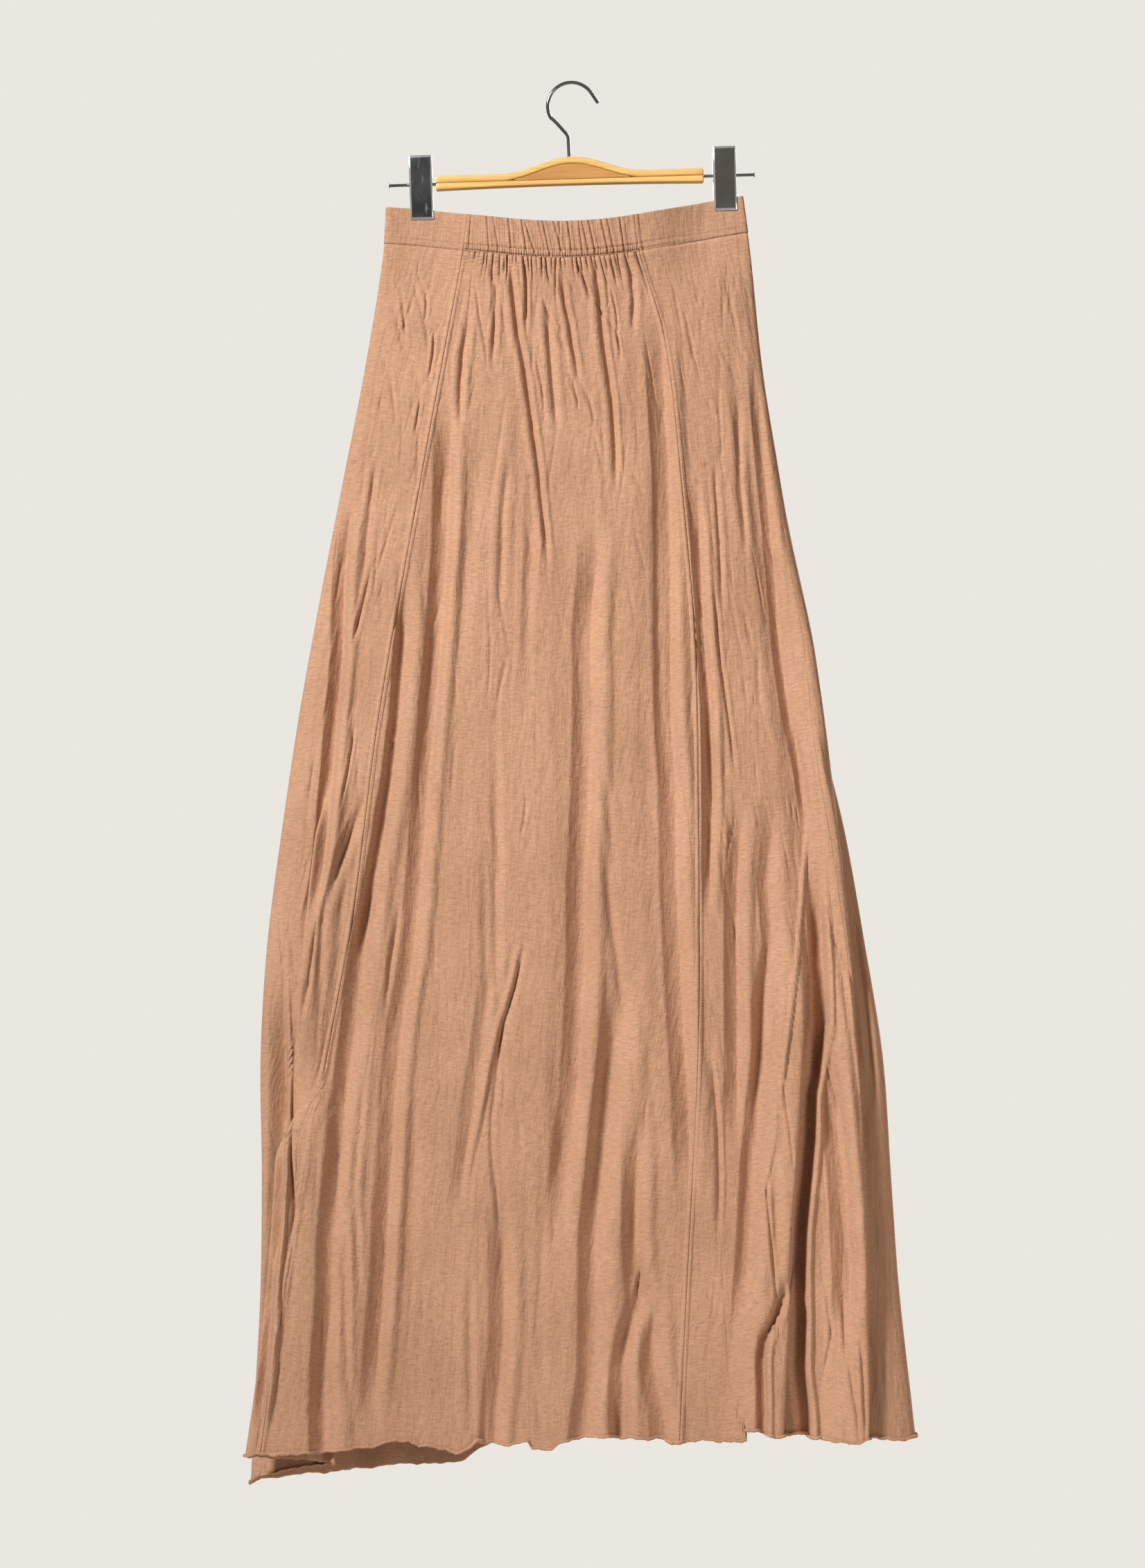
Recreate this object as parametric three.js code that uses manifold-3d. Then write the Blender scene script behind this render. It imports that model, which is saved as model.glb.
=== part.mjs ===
import * as THREE from 'three';
import { mergeVertices } from 'three/addons/utils/BufferGeometryUtils.js';
import Module from 'manifold-3d';

// A long gored jersey skirt on a clip hanger.
// Sizes are millimetres. +Z is up, the front of the skirt faces -Y, and the origin is the
// inside of the hook's top, where the hanger rests on its peg.

const wasm = await Module();
wasm.setup();

const seamGap = 0.3;

// Cloth
const panelWall = 1.4;
const bandWall = 2;
const edgePower = 0.8;

// Waistband: its top edge runs from side to side on a slant and sags between the clips.
const waist = {
  leftX: -161, leftZ: -107, rightX: 150, rightZ: -96,
  sag: 20, sagMiddleX: 3, sagHalfWidth: 190,
  bandHeight: 32, levelZ: -120, bandTopLevel: -114,
};
const leftSeamBehindEdge = 5;

// Gathers of the elastic front, between the two band seams and fading down the front panel.
const gathers = {
  count: 12, bandDepth: 1.3, panelDepth: 3.4, openLength: 24, fadeLength: 90, endShare: 0.05,
};

// Section of the flattened tube at each height: its two side edges and half its depth.
const outline = [
  { z: -90, left: -160.5, right: 148.5, depth: 14 },
  { z: -150, left: -164, right: 156.5, depth: 14 },
  { z: -250, left: -180, right: 167, depth: 17 },
  { z: -350, left: -199.5, right: 183, depth: 21 },
  { z: -450, left: -219, right: 198, depth: 24 },
  { z: -550, left: -237, right: 214, depth: 26 },
  { z: -650, left: -252, right: 238, depth: 28 },
  { z: -750, left: -265, right: 256, depth: 29 },
  { z: -850, left: -271, right: 272, depth: 30 },
  { z: -950, left: -270, right: 279, depth: 31 },
  { z: -1050, left: -271, right: 286, depth: 32 },
  { z: -1150, left: -276, right: 297, depth: 33 },
  { z: -1230, left: -280, right: 306, depth: 33 },
];

// Seams of the front, as seen from the front.
const leftGoreSeam = [
  { z: -90, x: -86 }, { z: -146, x: -94 }, { z: -256, x: -114 }, { z: -383, x: -137 },
  { z: -560, x: -168 }, { z: -723, x: -189 }, { z: -876, x: -217 }, { z: -1052, x: -247 },
  { z: -1185, x: -267 }, { z: -1240, x: -272 },
];
const rightGoreSeam = [
  { z: -90, x: 53 }, { z: -146, x: 59 }, { z: -220, x: 81 }, { z: -348, x: 96 },
  { z: -493, x: 108 }, { z: -659, x: 111 }, { z: -850, x: 110 }, { z: -1036, x: 101 },
  { z: -1180, x: 94 }, { z: -1240, x: 92 },
];
const sideSeam = [
  { z: -90, x: 143 }, { z: -206, x: 152 }, { z: -339, x: 178 }, { z: -450, x: 190 },
  { z: -560, x: 203 }, { z: -700, x: 219 }, { z: -850, x: 233 }, { z: -1000, x: 240 },
  { z: -1183, x: 238 }, { z: -1240, x: 237 },
];

// Hem height round the tube: turn 0 is the left edge, 0.5 the right edge and 1 the left again.
const hem = [
  { turn: 0, z: -1222 }, { turn: 0.1, z: -1206 }, { turn: 0.17, z: -1193 },
  { turn: 0.24, z: -1186 }, { turn: 0.34, z: -1181 }, { turn: 0.5, z: -1182 },
  { turn: 0.7, z: -1178 }, { turn: 0.76, z: -1181 }, { turn: 0.8, z: -1203 },
  { turn: 0.86, z: -1215 }, { turn: 1, z: -1222 },
];

// Laps: pleats whose crest leans over its neighbour, given by the line of the crest's edge.
const leftUpperLap = {
  face: 1, lean: -1, topZ: -590, footZ: -885, topX: -213, midX: -231, footX: -243,
  topWidth: 14, footWidth: 16, topOver: 13, footOver: 17, depth: 9, fade: 70, openFoot: 0,
};
const leftLowerLap = {
  face: 1, lean: -1, topZ: -850, footZ: -1225, topX: -254, midX: -263, footX: -286,
  topWidth: 22, footWidth: 75, topOver: 24, footOver: 150, depth: 17, fade: 90, openFoot: 1,
};
const sideLap = {
  face: 1, lean: 1, topZ: -345, footZ: -1185, topX: 187, midX: 243, footX: 258,
  topWidth: 12, footWidth: 20, topOver: 8, footOver: 22, depth: 11, fade: 160, openFoot: 1,
};
const rightLap = {
  face: 1, lean: 1, topZ: -680, footZ: -1185, topX: 211, midX: 196, footX: 183,
  topWidth: 18, footWidth: 22, topOver: 12, footOver: 30, depth: 13, fade: 150, openFoot: 1,
};
const backLap = {
  face: -1, lean: -1, topZ: -600, footZ: -1200, topX: 120, midX: 128, footX: 140,
  topWidth: 24, footWidth: 32, topOver: 8, footOver: 26, depth: 12, fade: 200, openFoot: 1,
};
const laps = [leftUpperLap, leftLowerLap, sideLap, rightLap, backLap];
const lapTurnRun = 1.05;
const lapRiseShare = 0.8;

// Soft folds: a ridge where depth is positive and a trough where it is negative.
const folds = [
  { face: 1, topZ: -290, footZ: -870, topX: -113, midX: -131, footX: -166, rise: 18, fall: 18, depth: -5 },
  { face: 1, topZ: -560, footZ: -1150, topX: -150, midX: -176, footX: -214, rise: 16, fall: 22, depth: -6 },
  { face: 1, topZ: -370, footZ: -980, topX: -6, midX: 4, footX: -12, rise: 24, fall: 16, depth: -7 },
  { face: 1, topZ: -790, footZ: -1183, topX: 36, midX: 20, footX: 6, rise: 16, fall: 16, depth: -5 },
  { face: 1, topZ: -980, footZ: -1184, topX: 50, midX: 45, footX: 40, rise: 14, fall: 12, depth: -6 },
  { face: 1, topZ: -320, footZ: -830, topX: 79, midX: 68, footX: 88, rise: 18, fall: 18, depth: -5 },
  { face: 1, topZ: -300, footZ: -660, topX: 162, midX: 178, footX: 203, rise: 16, fall: 20, depth: -8 },
  { face: 1, topZ: -740, footZ: -960, topX: -42, midX: -66, footX: -90, rise: 10, fall: 14, depth: -5 },
  { face: -1, topZ: -180, footZ: -1215, topX: -70, midX: -120, footX: -165, rise: 30, fall: 26, depth: -9 },
  { face: -1, topZ: -200, footZ: -1190, topX: -20, midX: -40, footX: -50, rise: 26, fall: 30, depth: -8 },
  { face: -1, topZ: -170, footZ: -1185, topX: 30, midX: 44, footX: 40, rise: 28, fall: 24, depth: -9 },
  { face: -1, topZ: -240, footZ: -1185, topX: 96, midX: 190, footX: 222, rise: 26, fall: 24, depth: -8 },
];

// Hanger, in a frame of its own at the middle of the bar, turned a little so that +X is higher.
const hanger = {
  middleX: -1.2, middleZ: -83.6, tilt: 1.74,
  barHalf: 117, barDeep: 12, lamination: 6, bottomBow: 1.6, endRound: 1.5,
  humpHeight: 13.4, humpHalf: 62, humpX: 1.8, steps: 24,
};
const hook = {
  wire: 3, arcX: 0.3, arcZ: -19.3, arcRadius: 20.8, arcStart: 208, arcEnd: 37,
  stemX: -1.2, stemFootZ: -78, stemKneeX: -2.6, stemKneeZ: -46, tipX: 23.6, tipZ: -16.6, sides: 8,
  swivelGap: 0.45, boreLength: 30,
};
const rod = { radius: 1.3, headRadius: 2.3, headLength: 1.4, level: -0.5, leftEnd: 158.2, rightEnd: 161.8 };
const clip = {
  width: 20, sheet: 1.2, top: 23.8, lipTop: -19, foot: -31.2, topGap: 9.5, lipGap: 2.85,
  leftX: -130, rightX: 135.4, boreRadius: 1.65, springRadius: 3.4, springLength: 12.6, ringSides: 16,
};
const pinch = { halfWidth: 12, outerFade: 14, innerFade: 55, wallMiddle: 1.35, fullBelow: 16, fadeBelow: 90 };

const finish = {
  cloth: { color: 0xc4967a, roughness: 0.92, metalness: 0 },
  band: { color: 0xc0916f, roughness: 0.92, metalness: 0 },
  wood: { color: 0xecbe6e, roughness: 0.5, metalness: 0 },
  darkWood: { color: 0xcd9655, roughness: 0.5, metalness: 0 },
  chrome: { color: 0xb8babd, roughness: 0.15, metalness: 1 },
};

const radians = Math.PI / 180;
const clamp01 = (value) => Math.min(1, Math.max(0, value));
const mix = (from, to, share) => from + (to - from) * share;
const smooth = (value) => clamp01(value) ** 2 * (3 - 2 * clamp01(value));
const bell = (share) => (Math.abs(share) < 1 ? 0.5 + 0.5 * Math.cos(Math.PI * share) : 0);

// Reads a column of a table at a height or a turn, on a smooth curve through the rows.
function tableValue(table, key, at, column) {
  const falling = table[0][key] > table[table.length - 1][key];
  const passed = (row) => (falling ? row[key] >= at : row[key] <= at);
  let low = 0;
  while (low < table.length - 2 && passed(table[low + 1])) low += 1;
  const [before, from, to, after] = [-1, 0, 1, 2].map(
    (step) => table[Math.min(table.length - 1, Math.max(0, low + step))],
  );
  const span = to[key] - from[key];
  const share = clamp01((at - from[key]) / span);
  const slope = (a, b) => (a === b ? 0 : ((b[column] - a[column]) / (b[key] - a[key])) * span);
  const start = slope(before, to);
  const end = slope(from, after);
  const rise = to[column] - from[column];
  return from[column] + share * (start + share * (3 * rise - 2 * start - end
    + share * (start + end - 2 * rise)));
}

// The line of a fold or lap: a curve through its top, middle and foot.
function lineX(fold, share) {
  return fold.topX * (1 - share) * (1 - 2 * share) + fold.midX * 4 * share * (1 - share)
    + fold.footX * share * (2 * share - 1);
}

// A soft step of the given run, centred on zero.
const softStep = (offset, run) => smooth(offset / run + 0.5);

// A lap at a height, measured on the plain section. Its crest and root, where the cloth turns
// back and forward again, are shares of its half width from its middle.
function lapShape(lap, z) {
  const share = clamp01((lap.topZ - z) / (lap.topZ - lap.footZ));
  const width = mix(lap.topWidth, lap.footWidth, share);
  const over = mix(lap.topOver, lap.footOver, share);
  const crest = Math.asin(Math.min(1, (2 * width) / (Math.PI * over))) / Math.PI;
  const edge = width * crest + over * bell(crest);
  return { width, over, crest, middle: lineX(lap, share) - lap.lean * edge };
}

// Moves a point of the plain section sideways and outwards where a lap's crest leans over.
function addLaps(point, baseX, face, z) {
  for (const lap of laps) {
    if (lap.face !== face || z >= lap.topZ || (z <= lap.footZ && !lap.openFoot)) continue;
    const above = lap.openFoot ? 1 : smooth((z - lap.footZ) / lap.fade);
    const strength = smooth((lap.topZ - z) / lap.fade) * above;
    const { width, over, crest, middle } = lapShape(lap, z);
    const across = (lap.lean * (baseX - middle)) / width;
    const run = lap.depth * lapTurnRun;
    const turned = softStep((across - crest) * width, run) + softStep((across - 1 + crest) * width, run);
    const rise = smooth((across + 1) / lapRiseShare) * (1 - turned / 2);
    point.x += lap.lean * over * bell(across) * strength;
    point.y -= face * lap.depth * rise * strength;
  }
}

function foldDepth(x, face, z) {
  let depth = 0;
  for (const fold of folds) {
    const share = (fold.topZ - z) / (fold.topZ - fold.footZ);
    if (fold.face !== face || share <= 0) continue;
    const offset = x - lineX(fold, Math.min(1, share));
    const across = bell(offset / (offset < 0 ? fold.rise : fold.fall));
    const along = Math.sin(Math.PI * Math.min(0.5, share * 1.6)) * smooth((1.15 - share) * 4);
    depth += fold.depth * across * along;
  }
  return depth;
}

// Ripple of the gathered front, at full depth in the band and fading below it.
function gatherDepth(x, z) {
  const left = tableValue(leftGoreSeam, 'z', z, 'x');
  const right = tableValue(rightGoreSeam, 'z', z, 'x');
  const share = (x - left) / (right - left);
  if (share <= 0 || share >= 1) return 0;
  const below = Math.max(0, bandTop(x) - waist.bandHeight - z);
  const opened = mix(gathers.bandDepth, gathers.panelDepth, smooth(below / gathers.openLength));
  const depth = opened / (1 + (below / gathers.fadeLength) ** 2);
  const ends = smooth(share / gathers.endShare) * smooth((1 - share) / gathers.endShare);
  return depth * ends * Math.cos(2 * Math.PI * gathers.count * share);
}

// Share of the clips' grip on the cloth: both walls are pressed together there.
function clipGrip(x, z) {
  const down = bandTop(x) - z;
  const grip = 1 - smooth((down - pinch.fullBelow) / pinch.fadeBelow);
  const beside = [clip.leftX, clip.rightX].map((clipX) => {
    const away = (x - clipX - hanger.middleX) * Math.sign(clipX);
    const fade = away > 0 ? pinch.outerFade : pinch.innerFade;
    return 1 - smooth((Math.abs(away) - pinch.halfWidth) / fade);
  });
  return grip * Math.max(...beside);
}

function bandTop(x) {
  const along = (x - waist.leftX) / (waist.rightX - waist.leftX);
  const sag = waist.sag * bell((x - waist.sagMiddleX) / waist.sagHalfWidth);
  return mix(waist.leftZ, waist.rightZ, along) - sag;
}

const power = (value) => Math.sign(value) * Math.abs(value) ** edgePower;

function baseX(angle, z) {
  const left = tableValue(outline, 'z', z, 'left');
  const right = tableValue(outline, 'z', z, 'right');
  return (left + right) / 2 + ((right - left) / 2) * power(Math.cos(angle));
}

// Angle of a point of the plain section: PI is the left edge, 0 the right edge, negative behind.
function angleAt(x, z) {
  const left = tableValue(outline, 'z', z, 'left');
  const right = tableValue(outline, 'z', z, 'right');
  const across = (2 * x - left - right) / (right - left);
  return Math.acos(Math.sign(across) * Math.min(1, Math.abs(across) ** (1 / edgePower)));
}

// Middle of the cloth's wall.
function clothPoint(angle, z) {
  const face = Math.sin(angle) >= 0 ? 1 : -1;
  const depth = tableValue(outline, 'z', z, 'depth');
  const bulge = Math.abs(power(Math.sin(angle)));
  const plainX = baseX(angle, z);
  const point = new THREE.Vector3(plainX, -face * depth * bulge, z);
  addLaps(point, plainX, face, z);
  const relief = foldDepth(point.x, face, z) + (face > 0 ? gatherDepth(point.x, z) : 0);
  const nearEdge = Math.min(1, 1.6 * bulge);
  point.y -= face * relief * nearEdge;
  const pressed = -face * Math.min(Math.abs(point.y), pinch.wallMiddle);
  point.y = mix(point.y, pressed, clipGrip(point.x, z));
  return point;
}

function clothNormal(angle, z) {
  const step = 0.002;
  const across = clothPoint(angle + step, z).sub(clothPoint(angle - step, z));
  const along = clothPoint(angle, z + 0.5).sub(clothPoint(angle, z - 0.5));
  return along.cross(across).normalize();
}

const turnOf = (angle) => (Math.PI - angle) / (2 * Math.PI);
const bandFoot = (angle) => bandTop(baseX(angle, waist.levelZ)) - waist.bandHeight;

// Walks from the middle of the front to the seam, so that it is found on the foremost layer.
function frontSeamAngle(table, z) {
  const seamX = tableValue(table, 'z', z, 'x');
  const step = (seamX < 0 ? 1 : -1) * 0.01;
  let angle = Math.PI / 2;
  const away = () => (clothPoint(angle, z).x - seamX) * Math.sign(step);
  while (away() > 0) angle += step;
  const over = away();
  angle -= step;
  const short = away();
  return angle + (step * short) / (short - over);
}

// Seams by name, each as the angle at which it lies at a height.
const seams = {
  leftSide: (z) => {
    const edge = tableValue(outline, 'z', z, 'left');
    return 2 * Math.PI - angleAt(edge + leftSeamBehindEdge, z);
  },
  leftGore: (z) => frontSeamAngle(leftGoreSeam, z),
  rightGore: (z) => frontSeamAngle(rightGoreSeam, z),
  rightSide: (z) => angleAt(tableValue(sideSeam, 'z', z, 'x'), z),
};
seams.leftSideBehind = (z) => seams.leftSide(z) - 2 * Math.PI;

// Joins an outer and an inner grid of points into one closed wall.
function wallGeometry(outer, inner) {
  const rows = outer.length;
  const columns = outer[0].length;
  const positions = [...outer.flat(), ...inner.flat()].flatMap((point) => point.toArray());
  const at = (side, row, column) => side * rows * columns + row * columns + column;
  const index = [];
  const quad = (a, b, c, d) => index.push(a, b, c, a, c, d);
  for (let row = 0; row < rows - 1; row += 1) {
    for (let column = 0; column < columns - 1; column += 1) {
      const next = column + 1;
      quad(at(0, row, column), at(0, row + 1, column), at(0, row + 1, next), at(0, row, next));
      quad(at(1, row, column), at(1, row, next), at(1, row + 1, next), at(1, row + 1, column));
    }
    quad(at(0, row, 0), at(1, row, 0), at(1, row + 1, 0), at(0, row + 1, 0));
    const last = columns - 1;
    quad(at(0, row, last), at(0, row + 1, last), at(1, row + 1, last), at(1, row, last));
  }
  for (let column = 0; column < columns - 1; column += 1) {
    const next = column + 1;
    const foot = rows - 1;
    quad(at(0, 0, column), at(0, 0, next), at(1, 0, next), at(1, 0, column));
    quad(at(0, foot, column), at(1, foot, column), at(1, foot, next), at(0, foot, next));
  }
  const geometry = new THREE.BufferGeometry();
  geometry.setAttribute('position', new THREE.Float32BufferAttribute(positions, 3));
  geometry.setIndex(index);
  geometry.computeVertexNormals();
  return geometry;
}

function mesh(name, geometry, look) {
  const piece = new THREE.Mesh(geometry, new THREE.MeshStandardMaterial(look));
  piece.name = name;
  return piece;
}

const evenShares = (count) => Array.from({ length: count + 1 }, (_, step) => step / count);

// Columns of a piece, as the angles at which they cross a height. Even steps of the angle:
const evenColumns = (start, end, count) => (z) => (
  evenShares(count).map((share) => mix(start(z), end(z), share))
);

// Even steps of the width as seen from the front:
const seenColumns = (start, end, count) => (z) => {
  const samples = evenShares(80).map((share) => {
    const angle = mix(start(z), end(z), share);
    return { angle, x: clothPoint(angle, z).x };
  });
  const left = samples[0].x;
  const right = samples[samples.length - 1].x;
  return evenShares(count).map((share) => {
    if (share === 0 || share === 1) return mix(start(z), end(z), share);
    const wanted = mix(left, right, share);
    const next = samples.findIndex((sample) => sample.x > wanted);
    const [a, b] = [samples[next - 1], samples[next]];
    return mix(a.angle, b.angle, (wanted - a.x) / (b.x - a.x));
  });
};

// Even steps between lines, so that columns run along the laps' crests and roots:
const linedColumns = (start, end, lines, counts) => (z) => {
  const stops = [start, ...lines.map((line) => line(start, end)), end].map((stop) => stop(z));
  return [
    ...counts.flatMap((count, span) => (
      evenShares(count).slice(0, -1).map((share) => mix(stops[span], stops[span + 1], share))
    )),
    stops[stops.length - 1],
  ];
};

// A line along a lap, at a share of its half width from its middle. Above and below the lap it
// keeps its place between the piece's seams.
const lapLine = (lap, acrossOf) => (start, end) => (z) => {
  const level = Math.max(lap.footZ, Math.min(lap.topZ, z));
  const { width, crest, middle } = lapShape(lap, level);
  const angle = lap.face * angleAt(middle + lap.lean * acrossOf(crest) * width, level);
  const share = (angle - start(level)) / (end(level) - start(level));
  return mix(start(z), end(z), share);
};
const lapStart = (lap) => lapLine(lap, () => -1);
const lapCrest = (lap) => lapLine(lap, (crest) => crest);
const lapRoot = (lap) => lapLine(lap, (crest) => 1 - crest);
const lapEnd = (lap) => lapLine(lap, () => 1);

// Angle moved along the cloth by half the seam gap, away from the seam.
function clearOfSeam(angle, z, direction) {
  const step = 0.0005 * direction;
  const run = clothPoint(angle, z).distanceTo(clothPoint(angle + step, z));
  return angle + (step * seamGap) / 2 / run;
}

// One cut piece between two seams. Rows run down it and columns run across it, left to right.
function clothPiece({ name, columns, rowShares, levelOf, heightOf, wall, look }) {
  const outer = [];
  const inner = [];
  for (const down of rowShares) {
    const angles = columns(levelOf(down));
    const last = angles.length - 1;
    const points = angles.map((plain, column) => {
      let angle = plain;
      const inward = Math.sign(angles[last] - angles[0]);
      if (column === 0) angle = clearOfSeam(plain, heightOf(plain, down), inward);
      if (column === last) angle = clearOfSeam(plain, heightOf(plain, down), -inward);
      const z = heightOf(angle, down);
      return { middle: clothPoint(angle, z), normal: clothNormal(angle, z) };
    });
    outer.push(points.map(({ middle, normal }) => middle.clone().addScaledVector(normal, wall / 2)));
    inner.push(points.map(({ middle, normal }) => middle.clone().addScaledVector(normal, -wall / 2)));
  }
  return mesh(name, wallGeometry(outer, inner), look);
}

const panelRows = [0, 0.025, 0.06, 0.105, 0.16, 0.23, 0.31, 0.39, 0.47, 0.55, 0.63, 0.71, 0.79, 0.87, 0.94, 1];
const panelTopLevel = -150;
const panelFootLevel = -1183;

function panel(name, columns) {
  return clothPiece({
    name,
    columns,
    rowShares: panelRows,
    levelOf: (down) => mix(panelTopLevel, panelFootLevel, down),
    heightOf: (angle, down) => mix(
      bandFoot(angle) - seamGap / 2, tableValue(hem, 'turn', ((turnOf(angle) % 1) + 1) % 1, 'z'), down,
    ),
    wall: panelWall,
    look: finish.cloth,
  });
}

function bandPiece(name, columns) {
  const height = waist.bandHeight - seamGap / 2;
  return clothPiece({
    name,
    columns,
    rowShares: evenShares(2),
    levelOf: (down) => mix(waist.bandTopLevel, panelTopLevel, down),
    heightOf: (angle, down) => bandFoot(angle) + seamGap / 2 + height * (1 - down),
    wall: bandWall,
    look: finish.band,
  });
}

const gatherColumns = gathers.count * 4;

// The two left laps follow one another down the same line.
const leftLapLine = (line) => (start, end) => (z) => {
  const lap = z > leftUpperLap.footZ ? leftUpperLap : leftLowerLap;
  return line(lap)(start, end)(z);
};

const frontLeftColumns = linedColumns(
  seams.leftSide, seams.leftGore,
  [leftLapLine(lapEnd), leftLapLine(lapRoot), leftLapLine(lapCrest)], [8, 4, 8, 7],
);
const frontRightColumns = linedColumns(
  seams.rightGore, seams.rightSide,
  [lapStart(rightLap), lapCrest(rightLap), lapRoot(rightLap)], [4, 6, 6, 12],
);
const backColumns = linedColumns(
  seams.rightSide, seams.leftSideBehind,
  [() => () => 0, lapStart(backLap), lapCrest(backLap), lapRoot(backLap), lapEnd(backLap)],
  [11, 9, 4, 6, 4, 24],
);

const skirt = new THREE.Group();
skirt.add(
  bandPiece('waistband_front_left', evenColumns(seams.leftSide, seams.leftGore, 12)),
  bandPiece('waistband_front_gathered', seenColumns(seams.leftGore, seams.rightGore, gatherColumns)),
  bandPiece('waistband_front_right', evenColumns(seams.rightGore, seams.rightSide, 10)),
  bandPiece('waistband_back', evenColumns(seams.rightSide, seams.leftSideBehind, 36)),
  panel('front_left_panel', frontLeftColumns),
  panel('front_centre_panel', seenColumns(seams.leftGore, seams.rightGore, gatherColumns)),
  panel('front_right_panel', frontRightColumns),
  panel('back_panel', backColumns),
);

// Booleans
function solidOf(geometry) {
  const bare = geometry.clone();
  bare.deleteAttribute('normal');
  bare.deleteAttribute('uv');
  const merged = mergeVertices(bare, 1e-4);
  return new wasm.Manifold(new wasm.Mesh({
    numProp: 3,
    vertProperties: new Float32Array(merged.attributes.position.array),
    triVerts: new Uint32Array(merged.index.array),
  }));
}

function geometryOf(solid) {
  const { vertProperties, triVerts, numProp } = solid.getMesh();
  const positions = [];
  for (let vertex = 0; vertex < vertProperties.length; vertex += numProp) {
    positions.push(...vertProperties.slice(vertex, vertex + 3));
  }
  const geometry = new THREE.BufferGeometry();
  geometry.setAttribute('position', new THREE.Float32BufferAttribute(positions, 3));
  geometry.setIndex([...triVerts]);
  geometry.computeVertexNormals();
  return geometry;
}

// Turns a drawing in X and Z, extruded along its own axis, into a slab centred on Y = 0.
function slab(points, deep) {
  const shape = new THREE.Shape(points.map(([x, z]) => new THREE.Vector2(x, z)));
  const geometry = new THREE.ExtrudeGeometry(shape, { depth: deep, bevelEnabled: false, steps: 1 });
  return geometry.translate(0, 0, -deep / 2).rotateX(Math.PI / 2);
}

// A drawing in Y and Z, extruded along X and centred on middleX.
function sidePlate(points, width, middleX) {
  const shape = new THREE.Shape(points.map(([y, z]) => new THREE.Vector2(y, z)));
  const geometry = new THREE.ExtrudeGeometry(shape, { depth: width, bevelEnabled: false, steps: 1 });
  geometry.translate(0, 0, -width / 2);
  const axes = new THREE.Matrix4().makeBasis(
    new THREE.Vector3(0, 1, 0), new THREE.Vector3(0, 0, 1), new THREE.Vector3(1, 0, 0),
  );
  return geometry.applyMatrix4(axes).translate(middleX, 0, 0);
}

function axle(radius, length, middleX, height) {
  const geometry = new THREE.CylinderGeometry(radius, radius, length, clip.ringSides);
  return geometry.rotateZ(Math.PI / 2).translate(middleX, 0, height);
}

// Wooden bar
const hump = (x) => hanger.humpHeight * bell((x - hanger.humpX) / hanger.humpHalf);
const barX = evenShares(hanger.steps).map((share) => mix(-hanger.barHalf, hanger.barHalf, share));
const insetEnd = (x) => Math.sign(x) * (hanger.barHalf - hanger.endRound);

function upperLamination() {
  const under = barX.map((x) => [x, seamGap / 2 + hump(x)]);
  const over = barX.map((x) => [x, seamGap / 2 + hump(x) + hanger.lamination]);
  over[0][0] = insetEnd(-1);
  over[over.length - 1][0] = insetEnd(1);
  return slab([...under, ...over.reverse()], hanger.barDeep);
}

function lowerLamination() {
  const bowed = (x) => -hanger.lamination - seamGap / 2 + hanger.bottomBow * (1 - (x / hanger.barHalf) ** 2);
  const under = barX.map((x) => [x, bowed(x)]);
  under[0][0] = insetEnd(-1);
  under[under.length - 1][0] = insetEnd(1);
  return slab([...under, [hanger.barHalf, -seamGap / 2], [-hanger.barHalf, -seamGap / 2]], hanger.barDeep);
}

function infill() {
  const thinEdge = 0.9;
  const over = barX.filter((x) => hump(x) > seamGap + thinEdge)
    .map((x) => [x, hump(x) - seamGap / 2]);
  const first = over[0][0];
  const last = over[over.length - 1][0];
  return slab([[first, seamGap / 2], [last, seamGap / 2], ...over.reverse()], hanger.barDeep - 2 * seamGap);
}

// Bore of the hook's stem, in the bar's own frame.
function stemBore() {
  const radius = hook.wire / 2 + hook.swivelGap;
  const foot = hook.stemFootZ - hanger.middleZ - seamGap;
  const bore = new THREE.CylinderGeometry(radius, radius, hook.boreLength, 12).rotateX(Math.PI / 2);
  return solidOf(bore.translate(0, 0, foot + hook.boreLength / 2).rotateY(hanger.tilt * radians));
}

const bore = stemBore();
const bored = (geometry) => geometryOf(solidOf(geometry).subtract(bore));

// Hook: a stem, a knee, a round and a straight tip, all in the plane Y = 0.
function hookGeometry() {
  const points = [
    ...[0, 5, 10, 15].map((up) => new THREE.Vector3(hook.stemX, 0, hook.stemFootZ + up)),
    new THREE.Vector3(hook.stemKneeX, 0, hook.stemKneeZ),
  ];
  const arcSteps = 14;
  for (let step = 0; step <= arcSteps; step += 1) {
    const angle = mix(hook.arcStart, hook.arcEnd, step / arcSteps) * radians;
    points.push(new THREE.Vector3(
      hook.arcX + hook.arcRadius * Math.cos(angle), 0, hook.arcZ + hook.arcRadius * Math.sin(angle),
    ));
  }
  points.push(new THREE.Vector3(hook.tipX, 0, hook.tipZ));
  const section = new THREE.Shape();
  section.absarc(0, 0, hook.wire / 2, 0, 2 * Math.PI, false);
  return new THREE.ExtrudeGeometry(section, {
    extrudePath: new THREE.CatmullRomCurve3(points, false, 'centripetal'),
    steps: 34, curveSegments: hook.sides / 2, bevelEnabled: false,
  });
}

function rodGeometry(end, side) {
  const start = hanger.barHalf + seamGap;
  const length = end - start;
  const profile = [[0, 0], [rod.radius, 0], [rod.radius, length - rod.headLength],
    [rod.headRadius, length - rod.headLength / 2], [rod.headRadius, length], [0, length]];
  const geometry = new THREE.LatheGeometry(profile.map(([r, h]) => new THREE.Vector2(r, h)), 12);
  geometry.translate(0, start, 0).rotateZ(-side * 90 * radians);
  return geometry.translate(0, 0, rod.level);
}

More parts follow.
